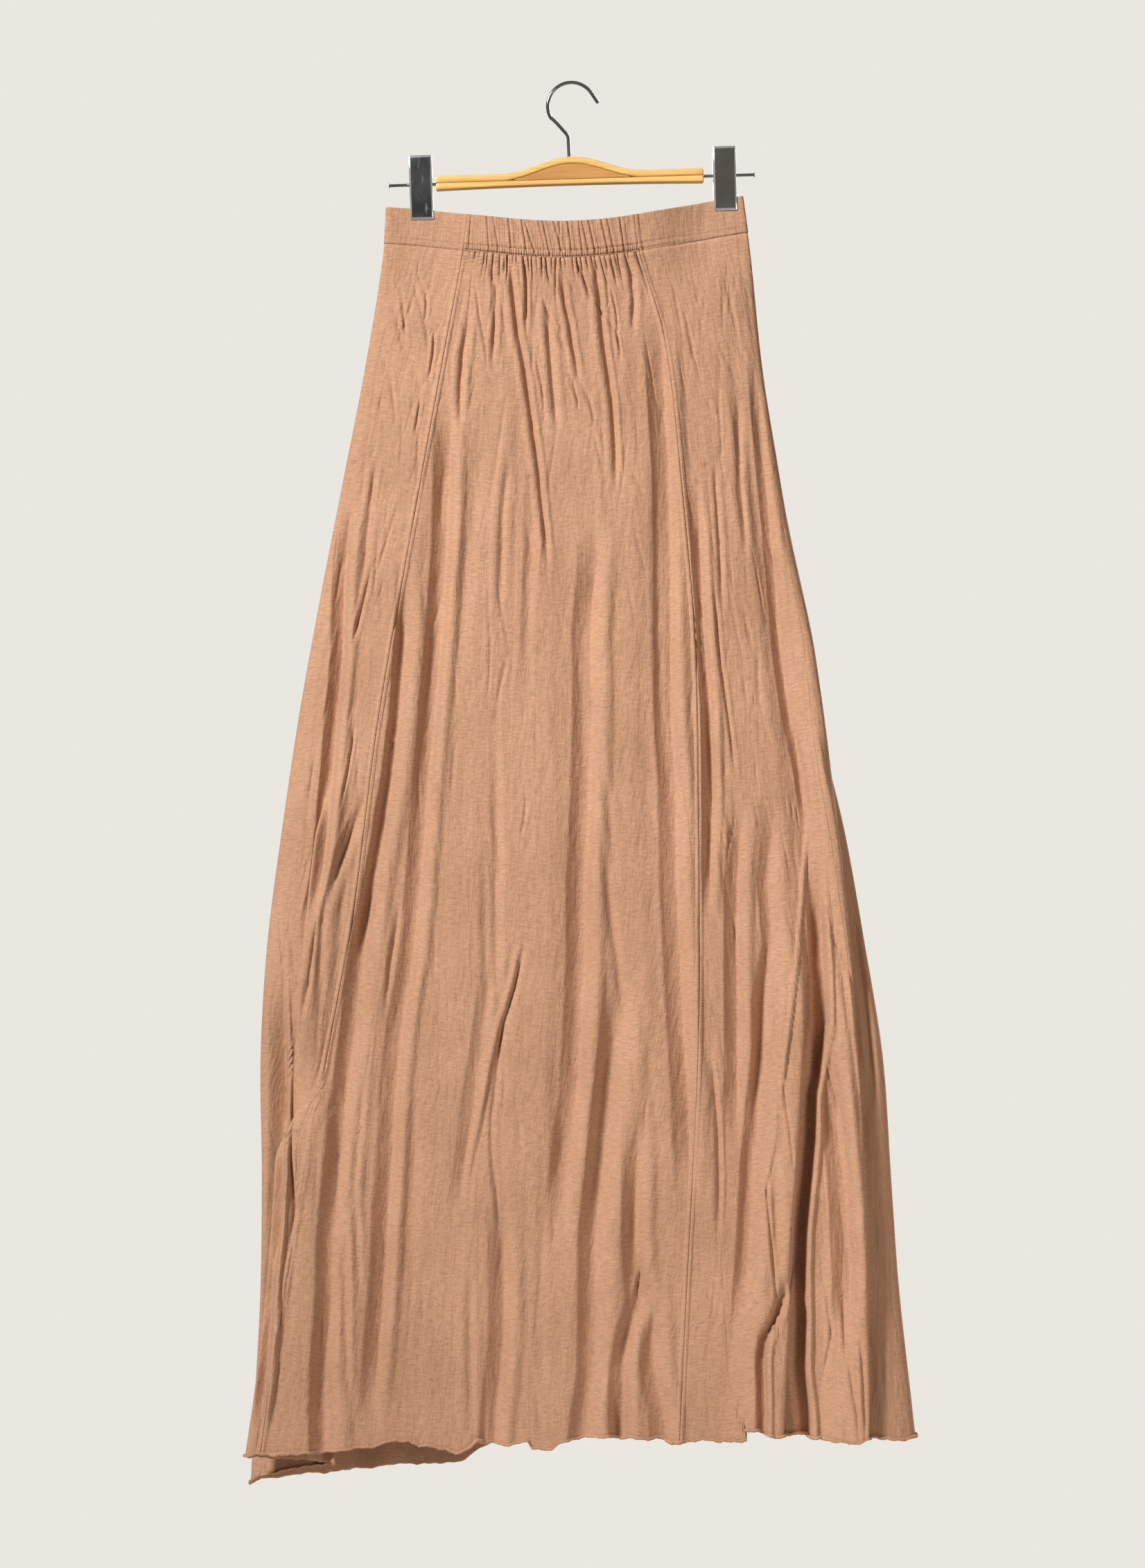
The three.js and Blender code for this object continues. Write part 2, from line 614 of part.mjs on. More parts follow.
// A jaw of folded sheet: a plate with a lip that lies on the cloth, and two ears on the rod.
function jawGeometry(middleX, side, earInset) {
  const plate = [[clip.lipGap, clip.foot], [clip.lipGap + clip.sheet, clip.foot],
    [clip.lipGap + clip.sheet, clip.lipTop], [clip.topGap + clip.sheet, clip.top],
    [clip.topGap, clip.top], [clip.lipGap, clip.lipTop]];
  const ear = [[clip.topGap - 1.5, 9], [clip.lipGap + 2, -10], [0, rod.level - 3.4],
    [-3, rod.level - 1.6], [-3, rod.level + 1.6], [0, rod.level + 3.4]];
  const facing = ([y, z]) => [side * y, z];
  let jaw = solidOf(sidePlate(plate.map(facing), clip.width, middleX));
  const earX = clip.width / 2 - clip.sheet / 2 - earInset;
  for (const earSide of [-1, 1]) {
    jaw = jaw.add(solidOf(sidePlate(ear.map(facing), clip.sheet, middleX + earSide * earX)));
  }
  return geometryOf(jaw.subtract(solidOf(axle(clip.boreRadius, clip.width + 4, middleX, rod.level))));
}

function springGeometry(middleX) {
  const half = clip.springLength / 2;
  const corners = [[clip.boreRadius, -half], [clip.springRadius, -half],
    [clip.springRadius, half], [clip.boreRadius, half], [clip.boreRadius, -half]];
  const profile = corners.map(([r, h]) => new THREE.Vector2(r, h));
  return new THREE.LatheGeometry(profile, clip.ringSides)
    .rotateZ(Math.PI / 2).translate(middleX, 0, rod.level);
}

const bar = new THREE.Group();
bar.add(
  mesh('bar_upper', bored(upperLamination()), finish.wood),
  mesh('bar_lower', lowerLamination(), finish.wood),
  mesh('bar_infill', bored(infill()), finish.darkWood),
  mesh('rod_left', rodGeometry(rod.leftEnd, -1), finish.chrome),
  mesh('rod_right', rodGeometry(rod.rightEnd, 1), finish.chrome),
);
const innerEars = clip.sheet + seamGap;
for (const [side, middleX] of [['left', clip.leftX], ['right', clip.rightX]]) {
  bar.add(
    mesh(`clip_${side}_front`, jawGeometry(middleX, -1, 0), finish.chrome),
    mesh(`clip_${side}_back`, jawGeometry(middleX, 1, innerEars), finish.chrome),
    mesh(`clip_${side}_spring`, springGeometry(middleX), finish.chrome),
  );
}
bar.position.set(hanger.middleX, 0, hanger.middleZ);
bar.rotation.y = -hanger.tilt * radians;

const model = new THREE.Group();
model.add(skirt, bar, mesh('hook', hookGeometry(), finish.chrome));

export default model;
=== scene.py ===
import math
import bmesh
import bpy
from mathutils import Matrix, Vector
import numpy as np


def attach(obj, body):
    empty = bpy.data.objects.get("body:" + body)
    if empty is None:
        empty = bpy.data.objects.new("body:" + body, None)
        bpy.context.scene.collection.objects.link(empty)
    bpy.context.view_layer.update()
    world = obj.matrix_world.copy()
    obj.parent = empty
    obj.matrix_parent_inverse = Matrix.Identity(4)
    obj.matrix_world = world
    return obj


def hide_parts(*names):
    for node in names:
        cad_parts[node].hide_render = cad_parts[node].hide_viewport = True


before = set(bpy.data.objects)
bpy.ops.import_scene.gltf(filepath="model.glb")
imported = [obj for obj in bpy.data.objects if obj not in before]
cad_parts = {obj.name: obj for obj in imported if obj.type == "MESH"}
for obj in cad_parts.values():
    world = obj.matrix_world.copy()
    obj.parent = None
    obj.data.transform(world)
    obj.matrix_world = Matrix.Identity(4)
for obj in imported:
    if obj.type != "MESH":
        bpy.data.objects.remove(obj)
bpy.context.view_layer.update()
bpy.ops.object.select_all(action="DESELECT")
scene = bpy.context.scene
mm = 0.001
print("frame loaded:", len(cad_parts), "nodes")

# camera: a long lens, level with the middle of the picture
view = {"distance": 3.4, "middleX": 0.0012, "middleZ": -0.6121, "seenWidth": 1.0012, "sensor": 36}
cameraData = bpy.data.cameras.new("camera")
cameraData.sensor_fit = "HORIZONTAL"
cameraData.sensor_width = view["sensor"]
cameraData.lens = view["sensor"] * view["distance"] / view["seenWidth"]
camera = bpy.data.objects.new("camera", cameraData)
camera.location = (view["middleX"], -view["distance"], view["middleZ"])
camera.rotation_euler = (math.radians(90), 0, 0)
scene.collection.objects.link(camera)
scene.camera = camera

# cloth surface, in millimetres: the section is a flattened tube, angle pi at its left edge,
# 0 at its right edge, positive in front
cloth = {"wall": 0.9, "bandWall": 1.8, "edgePower": 0.8, "seamGap": 0.12, "reliefRun": 1.6}
waist = {
    "leftX": -161, "leftZ": -107, "rightX": 150, "rightZ": -96,
    "sag": 20, "sagMiddleX": 3, "sagHalfWidth": 190,
    "bandHeight": 32, "levelZ": -120, "bandTopLevel": -114,
}
panelLevels = {"top": -150, "foot": -1183}
leftSeamBehindEdge = 5

# height, left edge, right edge, half depth
outline = np.array([
    (-90, -160.5, 148.5, 14), (-150, -164, 156.5, 14), (-250, -180, 167, 17),
    (-350, -199.5, 183, 21), (-450, -219, 198, 24), (-550, -237, 214, 26),
    (-650, -252, 238, 28), (-750, -265, 256, 29), (-850, -271, 272, 30),
    (-950, -270, 279, 31), (-1050, -271, 286, 32), (-1150, -276, 297, 33),
    (-1230, -280, 306, 33),
])
# height, place across
leftGoreSeam = np.array([
    (-90, -86), (-146, -94), (-256, -114), (-383, -137), (-560, -168), (-723, -189),
    (-876, -217), (-1052, -247), (-1185, -267), (-1240, -272),
])
rightGoreSeam = np.array([
    (-90, 53), (-146, 59), (-220, 81), (-348, 96), (-493, 108), (-659, 111), (-850, 110),
    (-1036, 101), (-1180, 94), (-1240, 92),
])
sideSeam = np.array([
    (-90, 143), (-206, 152), (-339, 178), (-450, 190), (-560, 203), (-700, 219), (-850, 233),
    (-1000, 240), (-1183, 238), (-1240, 237),
])
# turn round the tube from its left edge, height
hemHeight = np.array([
    (0, -1222), (0.1, -1206), (0.17, -1193), (0.24, -1186), (0.34, -1181), (0.5, -1182),
    (0.7, -1178), (0.762, -1182), (0.775, -1187), (0.787, -1197), (0.798, -1208), (0.83, -1211),
    (0.86, -1214), (0.92, -1220), (1, -1223),
])

# laps: pleats whose crest leans over its neighbour
lapTurnRun = 1.05
lapRiseShare = 0.8
laps = [
    dict(face=1, lean=-1, top=-590, foot=-885, line=(-213, -231, -243), width=(14, 16),
         over=(13, 17), depth=9, fade=70, openFoot=False),
    dict(face=1, lean=-1, top=-850, foot=-1225, line=(-254, -263, -286), width=(22, 75),
         over=(24, 150), depth=17, fade=90, openFoot=True),
    dict(face=1, lean=1, top=-345, foot=-1185, line=(187, 243, 258), width=(12, 20),
         over=(8, 22), depth=11, fade=160, openFoot=True),
    dict(face=1, lean=1, top=-680, foot=-1185, line=(211, 196, 183), width=(18, 22),
         over=(12, 30), depth=13, fade=150, openFoot=True),
    dict(face=-1, lean=-1, top=-600, foot=-1200, line=(120, 128, 140), width=(24, 32),
         over=(8, 26), depth=12, fade=200, openFoot=True),
]
# soft folds: face, top, foot, line at top, middle and foot, rise, fall, depth
softFolds = [
    (1, -290, -870, -113, -131, -166, 18, 18, -5),
    (1, -560, -1150, -150, -176, -214, 16, 22, -6),
    (1, -370, -980, -6, 4, -12, 24, 16, -7),
    (1, -790, -1183, 36, 20, 6, 16, 16, -5),
    (1, -980, -1184, 50, 45, 40, 14, 12, -6),
    (1, -320, -830, 79, 68, 88, 18, 18, -5),
    (1, -300, -660, 162, 178, 203, 16, 20, -8),
    (1, -740, -960, -42, -66, -90, 10, 14, -5),
    (-1, -180, -1215, -70, -120, -165, 30, 26, -9),
    (-1, -200, -1190, -20, -40, -50, 26, 30, -8),
    (-1, -170, -1185, 30, 44, 40, 28, 24, -9),
    (-1, -240, -1185, 96, 190, 222, 26, 24, -8),
]
pinch = {
    "places": (-131.2, 134.2), "halfWidth": 12, "outerFade": 45, "innerFade": 55,
    "wallMiddle": 1.35, "fullBelow": 16, "fadeBelow": 90,
}


def smooth(value):
    value = np.clip(value, 0, 1)
    return value * value * (3 - 2 * value)


def bell(share):
    return np.where(np.abs(share) < 1, 0.5 + 0.5 * np.cos(np.pi * np.clip(share, -1, 1)), 0.0)


def mix(low, high, share):
    return low + (high - low) * share


def readTable(table, at, column=1):
    keys, values = table[:, 0], table[:, column]
    if keys[0] > keys[-1]:
        keys, at = -keys, -at
    slopes = np.empty(len(keys))
    slopes[1:-1] = (values[2:] - values[:-2]) / (keys[2:] - keys[:-2])
    slopes[0] = (values[1] - values[0]) / (keys[1] - keys[0])
    slopes[-1] = (values[-1] - values[-2]) / (keys[-1] - keys[-2])
    low = np.clip(np.searchsorted(keys, at, side="right") - 1, 0, len(keys) - 2)
    span = keys[low + 1] - keys[low]
    share = np.clip((at - keys[low]) / span, 0, 1)
    start, end = slopes[low] * span, slopes[low + 1] * span
    rise = values[low + 1] - values[low]
    return values[low] + share * (
        start + share * (3 * rise - 2 * start - end + share * (start + end - 2 * rise)))


def lineAt(line, share):
    top, middle, foot = line
    return (top * (1 - share) * (1 - 2 * share) + middle * 4 * share * (1 - share)
            + foot * share * (2 * share - 1))


def softStep(offset, run):
    return smooth(offset / run + 0.5)


def power(value):
    return np.sign(value) * np.abs(value) ** cloth["edgePower"]


def plainX(angle, z):
    left, right = readTable(outline, z, 1), readTable(outline, z, 2)
    return (left + right) / 2 + (right - left) / 2 * power(np.cos(angle))


def angleAt(x, z):
    left, right = readTable(outline, z, 1), readTable(outline, z, 2)
    across = np.clip((2 * x - left - right) / (right - left), -1, 1)
    return np.arccos(np.sign(across) * np.abs(across) ** (1 / cloth["edgePower"]))


def lapShift(baseX, face, z):
    shiftX, shiftY = np.zeros_like(baseX), np.zeros_like(baseX)
    for lap in laps:
        share = np.clip((lap["top"] - z) / (lap["top"] - lap["foot"]), 0, 1)
        width, over = mix(*lap["width"], share), mix(*lap["over"], share)
        crest = np.arcsin(np.minimum(1, 2 * width / (np.pi * over))) / np.pi
        edge = width * crest + over * bell(crest)
        middle = lineAt(lap["line"], share) - lap["lean"] * edge
        strength = smooth((lap["top"] - z) / lap["fade"]) * (face == lap["face"])
        if not lap["openFoot"]:
            strength = strength * smooth((z - lap["foot"]) / lap["fade"])
        across = lap["lean"] * (baseX - middle) / width
        run = lap["depth"] * lapTurnRun
        turned = (softStep((across - crest) * width, run)
                  + softStep((across - 1 + crest) * width, run))
        rise = smooth((across + 1) / lapRiseShare) * (1 - turned / 2)
        shiftX += lap["lean"] * over * bell(across) * strength
        shiftY -= lap["face"] * lap["depth"] * rise * strength
    return shiftX, shiftY


def bandTop(x):
    along = (x - waist["leftX"]) / (waist["rightX"] - waist["leftX"])
    sag = waist["sag"] * bell((x - waist["sagMiddleX"]) / waist["sagHalfWidth"])
    return mix(waist["leftZ"], waist["rightZ"], along) - sag


def bandFoot(angle):
    level = np.full_like(angle, float(waist["levelZ"]))
    return bandTop(plainX(angle, level)) - waist["bandHeight"]


def clipGrip(x, z):
    down = bandTop(x) - z
    grip = 1 - smooth((down - pinch["fullBelow"]) / pinch["fadeBelow"])
    beside = np.zeros_like(x)
    for place in pinch["places"]:
        away = (x - place) * np.sign(place)
        fade = np.where(away > 0, pinch["outerFade"], pinch["innerFade"])
        beside = np.maximum(beside, 1 - smooth((np.abs(away) - pinch["halfWidth"]) / fade))
    return grip * beside


def clothPoints(angle, z, relief=None):
    face = np.where(np.sin(angle) >= 0, 1, -1)
    base = plainX(angle, z)
    bulge = np.abs(power(np.sin(angle)))
    shiftX, shiftY = lapShift(base, face, z)
    x = base + shiftX
    y = -face * readTable(outline, z, 3) * bulge + shiftY
    if relief is not None:
        y = y - face * relief(x, z, face) * np.minimum(1, cloth["reliefRun"] * bulge)
    pressed = -face * np.minimum(np.abs(y), pinch["wallMiddle"])
    y = mix(y, pressed, clipGrip(x, z))
    return np.stack([x, y, z], axis=-1)


# creases laid one by one on the front: height (plus stands out), width left and right of the
# line, then the line's points, each as its height and its place across
frontCreases = [
    (-3.6, 4, 3.2, -154, -53.5, -182, -50.4, -216, -46.7, -247, -40.6, -294, -34.2, -340, -28,
     -378, -24.2, -411, -20.6),
    (-3.2, 2.4, 2, -153, -40.6, -173, -38.8, -207, -38.8),
    (-1.6, 1.5, 1.3, -157, -26.1, -169, -20.6, -182, -14.5),
    (-2.0, 2.2, 1.5, -190, -24.8, -209, -17.2, -223, -10.9, -235, -3.3),
    (-3.0, 4, 4.5, -193, -21.8, -229, -18.8, -266, -15.8, -296, -12.7),
    (-2.2, 1.5, 1.4, -154, -13.9, -169, -13.6, -188, -13.3),
    (-1.3, 1.3, 1.2, -163, -8.7, -174, -2.4, -183, 3),
    (-3.2, 3.5, 3, -169, -7.9, -193, -5.5, -211, -1.2, -229, 1.2, -254, 6.1),
    (-2.2, 2, 1.4, -255, -3.3, -266, 2.4, -283, 6.7),
    (-1.7, 1.6, 1.5, -241, -30.9, -266, -25.5, -284, -23.6),
    (-2.7, 2.6, 1.6, -157, 5.5, -170, 10.3, -188, 17),
    (-2.0, 1.8, 1.5, -189, 18.2, -205, 29.1, -220, 40, -229, 41.8, -238, 43),
    (-1.8, 2, 2, -262, 7.3, -281, 16.8, -295, 20, -309, 28.5),
    (-3.6, 4.5, 3, -154, 20, -175, 23.6, -193, 25.5, -217, 27.3, -248, 31.5, -275, 35.8,
     -309, 38.2, -344, 39.4),
    (-1.9, 1.7, 1.5, -153, 33.3, -163, 36.4, -176, 39.4),
    (-1.6, 1.6, 1.5, -181, 35.2, -202, 39.4, -217, 40.6),
    (-2.7, 3, 4, -153, 47.9, -169, 52.7, -193, 54.5, -211, 53.3),
    (-1.4, 1.5, 1.5, -152, 57, -169, 63, -187, 69.1),
    (-2.5, 3, 3, -156, -71.5, -182, -65.2, -216, -66.7, -241, -67.9),
    (-1.7, 1.6, 1.4, -176, -83.6, -193, -81.2, -204, -80, -226, -75.8, -241, -73.3),
    (-2.8, 4, 4, -207, -89.7, -241, -94.5, -266, -96.4, -294, -96.4),
    (-1.6, 1.6, 1.4, -154, -58.2, -166, -58.2),
    (2.2, 2.6, 2, -649, 206.1, -696, 201.8, -761, 196.4, -845, 185.5, -874, 181.8),
    (1.8, 2.4, 2, -911, 178.2, -969, 165.5, -991, 158.2),
    (-2.0, 1.8, 2, -148, -132.8, -166, -134.2, -177, -130.1, -188, -126.5, -206, -126.5,
     -223, -119.5, -238, -120.2, -253, -123),
    (-1.6, 1.8, 2.2, -169, -157.2, -181, -149.6, -194, -146.8, -214, -145.4, -226, -144),
    (-1.8, 2, 3, -171, -140, -195, -131.5, -227, -124.2),
    (-1.5, 2, 2, -182, -161.4, -203, -152.9, -231, -146.5, -261, -131.5),
    (-1.5, 1.6, 2, -278, -131.5, -304, -135.8),
    (-1.4, 2, 2, -231, -167.8, -261, -157.1, -291, -152.9),
    (-1.6, 1.8, 1.8, -562, -188.3, -578, -190.3, -601, -194.1, -624, -199.2),
    (-1.8, 1.6, 2, -645, -192.2, -667, -201.9, -680, -206.8),
    (-1.7, 1.8, 1.5, -717, -256.1, -756, -252.3, -783, -248.4),
    (-1.5, 1.5, 1.8, -736, -246.5, -775, -240.6),
    (-2.0, 4, 4, -736, -221.3, -783, -227.1, -810, -232.9),
    (-1.3, 1.6, 1.8, -624, -39.2, -643, -40.3, -659, -45),
    (-2.0, 3, 5, -721, -149.6, -767, -157.3, -798, -160.4),
    (-1.6, 1.6, 1.6, -643, 143, -658, 138, -671, 135.2),
    (-1.4, 1.4, 1.6, -655, 129.4, -671, 135.2),
    (-1.6, 1.8, 1.6, -628, 185.6, -643, 199.2),
    (-2.0, 2, 3, -736, 218.6, -760, 234.1, -783, 243.7, -818, 247.6),
    (-3.2, 3, 1.8, -806, 245.7, -837, 250.3, -876, 255.4, -930, 257.5),
]
# long folds of the front in the same way: the line is the bottom of each
longFolds = [
    (-5.4, 14, 7, -290, -108, -360, -109, -400, -110, -480, -115, -550, -121, -620, -127,
     -700, -133, -760, -139, -820, -149, -880, -155, -940, -158, -1000, -162, -1060, -165,
     -1140, -172),
    (-5.6, 9, 9, -440, -147, -480, -147, -550, -152, -600, -158, -650, -166, -700, -175,
     -745, -182),
    (-6.2, 13, 12, -705, -177, -760, -184, -820, -190, -880, -198, -940, -204, -1000, -210,
     -1060, -211, -1120, -216, -1230, -216),
    (-2.6, 6, 3, -870, -180, -920, -185, -960, -188, -1000, -186, -1040, -184),
    (-2.6, 7, 3, -1000, -197, -1060, -195, -1100, -195, -1135, -193),
    (-6, 11, 6, -370, -195, -420, -199, -460, -201, -500, -201, -550, -206, -600, -210, -650, -214,
     -700, -220, -725, -226),
    (-3.4, 5, 6, -625, -180, -660, -193, -680, -202, -700, -209, -720, -215, -760, -218,
     -790, -220),
    (-2.0, 4, 3, -330, -170, -370, -175, -400, -178, -430, -180),
    (-2.0, 2.5, 2.5, -425, -174, -460, -182, -485, -189),
    (-2.2, 5, 5, -330, -55, -380, -60, -420, -61, -455, -62),
    (-1.1, 1.5, 1.4, -435, -65, -480, -57, -512, -50),
    (-1.5, 2, 2, -503, -56, -535, -63),
    (-5.6, 16, 9, -400, 20, -480, 14, -550, 15, -620, 13, -700, 9, -760, 9, -820, 6, -880, 3,
     -940, -5, -970, -9),
    (-5.8, 15, 14, -780, 40, -820, 38, -880, 31, -940, 25, -1000, 18, -1060, 18, -1120, 18,
     -1160, 11, -1230, 5),
    (-5.6, 13, 8, -915, 55, -940, 54, -1000, 54, -1060, 58, -1090, 48, -1120, 42, -1160, 43,
     -1230, 44),
    (-2.2, 2.5, 3, -1020, 64, -1040, 60, -1065, 54),
    (-5.2, 14, 9, -1040, 66, -1120, 70, -1160, 78, -1230, 82),
    (-5.6, 15, 8, -220, 75, -330, 82, -400, 84, -480, 84, -550, 84, -620, 88, -700, 89, -760, 92,
     -820, 95, -880, 99, -950, 101),
    (-4.2, 9, 5, -360, 107, -400, 110, -480, 113, -550, 119, -620, 120, -710, 118),
    (-4.8, 12, 7, -638, 145, -700, 142, -760, 142, -820, 142, -880, 142, -900, 142),
    (-3.0, 5, 2.4, -850, 121, -880, 125, -920, 128, -960, 128.5, -990, 128),
    (-5.6, 13, 9, -770, 174, -820, 171, -880, 162, -940, 157, -1000, 154, -1065, 149),
    (-1.2, 2, 1.8, -866, 182, -890, 186, -910, 189, -940, 192),
    (-1.9, 2, 2, -950, 168, -1000, 172, -1040, 176, -1062, 178),
    (-7.5, 13, 4, -690, 213, -740, 216, -780, 218, -820, 219, -850, 214, -880, 209, -920, 208,
     -960, 204, -1000, 200, -1040, 199, -1080, 200, -1120, 199, -1160, 204, -1230, 206),
    (-6.0, 9, 3, -1030, 193, -1060, 182, -1075, 177, -1090, 168, -1110, 165, -1140, 166,
     -1230, 166),
    (-7.5, 16, 8, -845, 221, -880, 228, -920, 232, -960, 236, -1000, 238, -1040, 240, -1085, 238),
    (-1.7, 1.8, 2, -850, 219, -900, 235, -930, 238, -957, 243),
    (2.2, 4, 3, -752, -44.5, -790, -53.5, -820, -63, -850, -70, -880, -75, -910, -81, -950, -90),
    (-2.0, 2.6, 3.4, -758, -42, -790, -49, -820, -58, -840, -62, -870, -65, -900, -69, -930, -69.5,
     -960, -66, -995, -63),
    (-5.2, 14, 8, -985, -62, -1040, -60, -1080, -60, -1120, -63, -1150, -66, -1230, -73),
    (-2.0, 6, 5, -1040, -88, -1080, -88, -1120, -88, -1160, -86),
    (-2.6, 10, 7, -780, -74, -840, -80, -880, -87, -920, -92, -965, -98),
    (-3.0, 4, 2, -925, -243, -960, -240, -980, -238, -1003, -241),
    (-8.5, 16, 2.5, -790, -252, -850, -250, -900, -250, -950, -251, -1000, -254, -1040, -258),
    (-8, 13, 4, -1030, -261, -1080, -262, -1120, -265, -1160, -270),
    (-4.5, 9, 3, -560, 220, -600, 226, -640, 235, -680, 243, -720, 246, -760, 249, -800, 255,
     -840, 259, -880, 262),
    (-3.2, 9, 9, -640, 172, -700, 168, -750, 172, -800, 163, -830, 162),
    (-2.0, 2, 3, -1055, 221, -1090, 226, -1122, 219),
    (-2.2, 3, 3, -1055, 236, -1105, 238),
    (-2.2, 2.4, 2.4, -1115, 240, -1150, 246, -1170, 249),
    (-1.9, 2, 2.6, -1095, 250, -1130, 253, -1165, 254),
    (-1.9, 2.4, 2, -1075, 258, -1120, 262, -1155, 262),
    (-2.0, 2.4, 3, -1085, 273, -1145, 270),
    (-1.6, 2, 2.4, -990, 261, -1035, 271),
    (-3.6, 8, 5, -260, 160, -330, 166, -390, 172, -440, 176, -500, 181, -550, 188, -600, 199,
     -640, 204),
    (-2.4, 5, 4, -280, 145, -350, 147, -400, 152),
    (-2.0, 3, 3, -340, 125, -400, 129, -450, 131),
    (-1.8, 2, 2.4, -450, 125, -500, 129, -550, 136, -590, 141),
]
# gathers of the band: place at its top, place at its foot, strength
bandGathers = [
    (-87.3, -89.7, 1), (-73.3, -71.5, 0.7), (-67.9, -62.4, 0.4), (-54.5, -51.5, 0.8),
    (-43, -38.2, 1), (-41.2, -30.3, 0.8), (-28.5, -20.6, 0.4), (-24.8, -18.2, 0.9),
    (-15.2, -6.7, 0.8), (-10.3, -9.7, 0.5), (-3, 1.2, 0.9), (6.7, 10.3, 0.7),
    (9.1, 16.4, 0.6), (15.2, 21.8, 1), (26.1, 32.7, 0.9), (31.5, 38.2, 0.7), (42.4, 46.7, 1),
]
bandLook = {
    "gatherDepth": 2.1, "gatherWidth": 1.2, "gatherReach": (-0.1, 1.1), "gatherEnd": 1.02,
    "endRate": 6, "topShare": 0.75, "topRate": 3,
    "lipShare": 0.5, "farLip": 0.6, "lipAway": 1.7, "lipWidth": 1.5,
    "stitchRows": (25.8, 30.9), "groove": 1.0, "grooveHalf": 1.1, "rowRun": 0.8, "raised": 0.25,
    "puckerPitch": 2.1, "puckerDepth": 0.7, "puckerRest": 0.15, "drift": 1.3, "driftRate": 0.35,
    "foldTurns": (84, 60, 38, 18),
}
comb = {
    "pitch": 3.9, "depth": 4.2, "reach": 19, "seed": 11, "across": 146, "jitter": 0.3,
    "reaches": (0.35, 1.9), "depths": (0.4, 1.3), "widths": (0.0055, 0.0105),
    "leans": (-0.0003, 0.0006), "startAbove": 3, "startRun": 4,
}
crinkle = {
    "frontCount": 1300, "backCount": 800, "seed": 5, "edgeShare": 0.5, "edgePower": 0.4,
    "wide": {"count": 60, "middle": (-1180, -260), "half": (70, 230), "width": (5, 12),
             "depth": (-3, 1.4), "lean": 0.035},
    "small": {"middle": (-1190, -160), "shortest": 10, "longer": 42, "width": (1.6, 3.6),
              "depth": (-1.2, 0.5), "lean": 6},
}
seamLook = {
    "halfStrip": 3.6, "raised": 1.1, "stripRun": 1.2, "ditch": 1.5, "ditchHalf": 0.8,
    "stitchAway": 2.5, "rowDepth": 0.35, "rowHalf": 0.6,
}
softLook = {"stretch": 1.6, "end": 1.15, "endRate": 4, "frontShare": 0.45}
# how a crease fades at its ends, and how a broad one is turned into a fold with a steep left side
foldLook = {
    "aside": 2.0, "fine": 1.1, "broad": 1.62, "fadeLeast": 26, "fadeGrowth": 4, "fadeMost": 0.35,
    "early": 0.3, "late": 0.5, "broadFrom": 4, "broadRun": 5, "steep": 0.8,
    "lip": 0.3, "lipAway": 1.5,
}


def creaseAt(x, z, depth, rise, fall, *line):
    look = foldLook
    heights, places = np.array(line, float).reshape(-1, 2).T
    run = heights[0] - heights[-1]
    fade = min(look["fadeLeast"] + look["fadeGrowth"] * max(rise, fall), look["fadeMost"] * run)
    along = (smooth((heights[0] + look["early"] * fade - z) / fade)
             * smooth((z - heights[-1] + look["late"] * fade) / fade))
    broad = smooth((rise - look["broadFrom"]) / look["broadRun"]) * (depth < 0)
    offset = x - np.interp(-z, -heights, places) - look["aside"] * broad
    share = offset / np.where(offset < 0, rise, fall)
    before, after = bell(share + look["lipAway"]), bell(share - look["lipAway"])
    lips = look["lip"] * ((1 - broad) * before + after)
    fallen = np.where((offset < 0) & (share > -1), 1 - share * share, bell(share))
    strength = mix(look["fine"], look["broad"], broad)
    return strength * depth * along * (mix(bell(share), fallen, look["steep"] * broad) - lips)


def foldRelief(x, z, face):
    relief = np.zeros_like(x)
    for side, top, foot, first, second, third, rise, fall, depth in softFolds:
        share = (top - z) / (top - foot)
        offset = x - lineAt((first, second, third), np.clip(share, 0, 1))
        across = bell(offset / np.where(offset < 0, rise, fall))
        along = (np.sin(np.pi * np.clip(share * softLook["stretch"], 0, 0.5))
                 * smooth((softLook["end"] - share) * softLook["endRate"]))
        shown = softLook["frontShare"] if side > 0 else 1
        relief += depth * across * along * (face == side) * shown
    return relief


# small uneven gathers just under the band
def combRelief(x, z):
    left, right = readTable(leftGoreSeam, z), readTable(rightGoreSeam, z)
    share = (x - left) / (right - left)
    below = bandTop(x) - waist["bandHeight"] - z
    chance = np.random.RandomState(comb["seed"])
    count = int(comb["across"] / comb["pitch"])
    relief = np.zeros_like(x)
    for step in range(count):
        place = (step + 0.5 + chance.uniform(-comb["jitter"], comb["jitter"])) / count
        reach = comb["reach"] * chance.uniform(*comb["reaches"])
        deep = comb["depth"] * chance.uniform(*comb["depths"])
        width = chance.uniform(*comb["widths"])
        lean = chance.uniform(*comb["leans"])
        across = bell((share - place - lean * below) / width)
        starts = smooth((below + comb["startAbove"]) / comb["startRun"])
        relief -= deep * across * starts * (1 - smooth(below / reach))
    return relief


def bandRelief(x, z):
    look = bandLook
    down = (bandTop(x) - z) / waist["bandHeight"]
    relief = np.zeros_like(x)
    for topX, footX, strength in bandGathers:
        line = mix(topX, footX, np.clip(down, *look["gatherReach"]))
        share = (x - line) / look["gatherWidth"]
        before = bell((share + look["lipAway"]) / look["lipWidth"])
        after = bell((share - look["lipAway"]) / look["lipWidth"])
        lips = look["lipShare"] * (before + look["farLip"] * after)
        shown = (smooth((look["gatherEnd"] - down) * look["endRate"])
                 * mix(look["topShare"], 1, smooth(down * look["topRate"])))
        relief -= strength * look["gatherDepth"] * (bell(share) - lips) * shown
    return relief


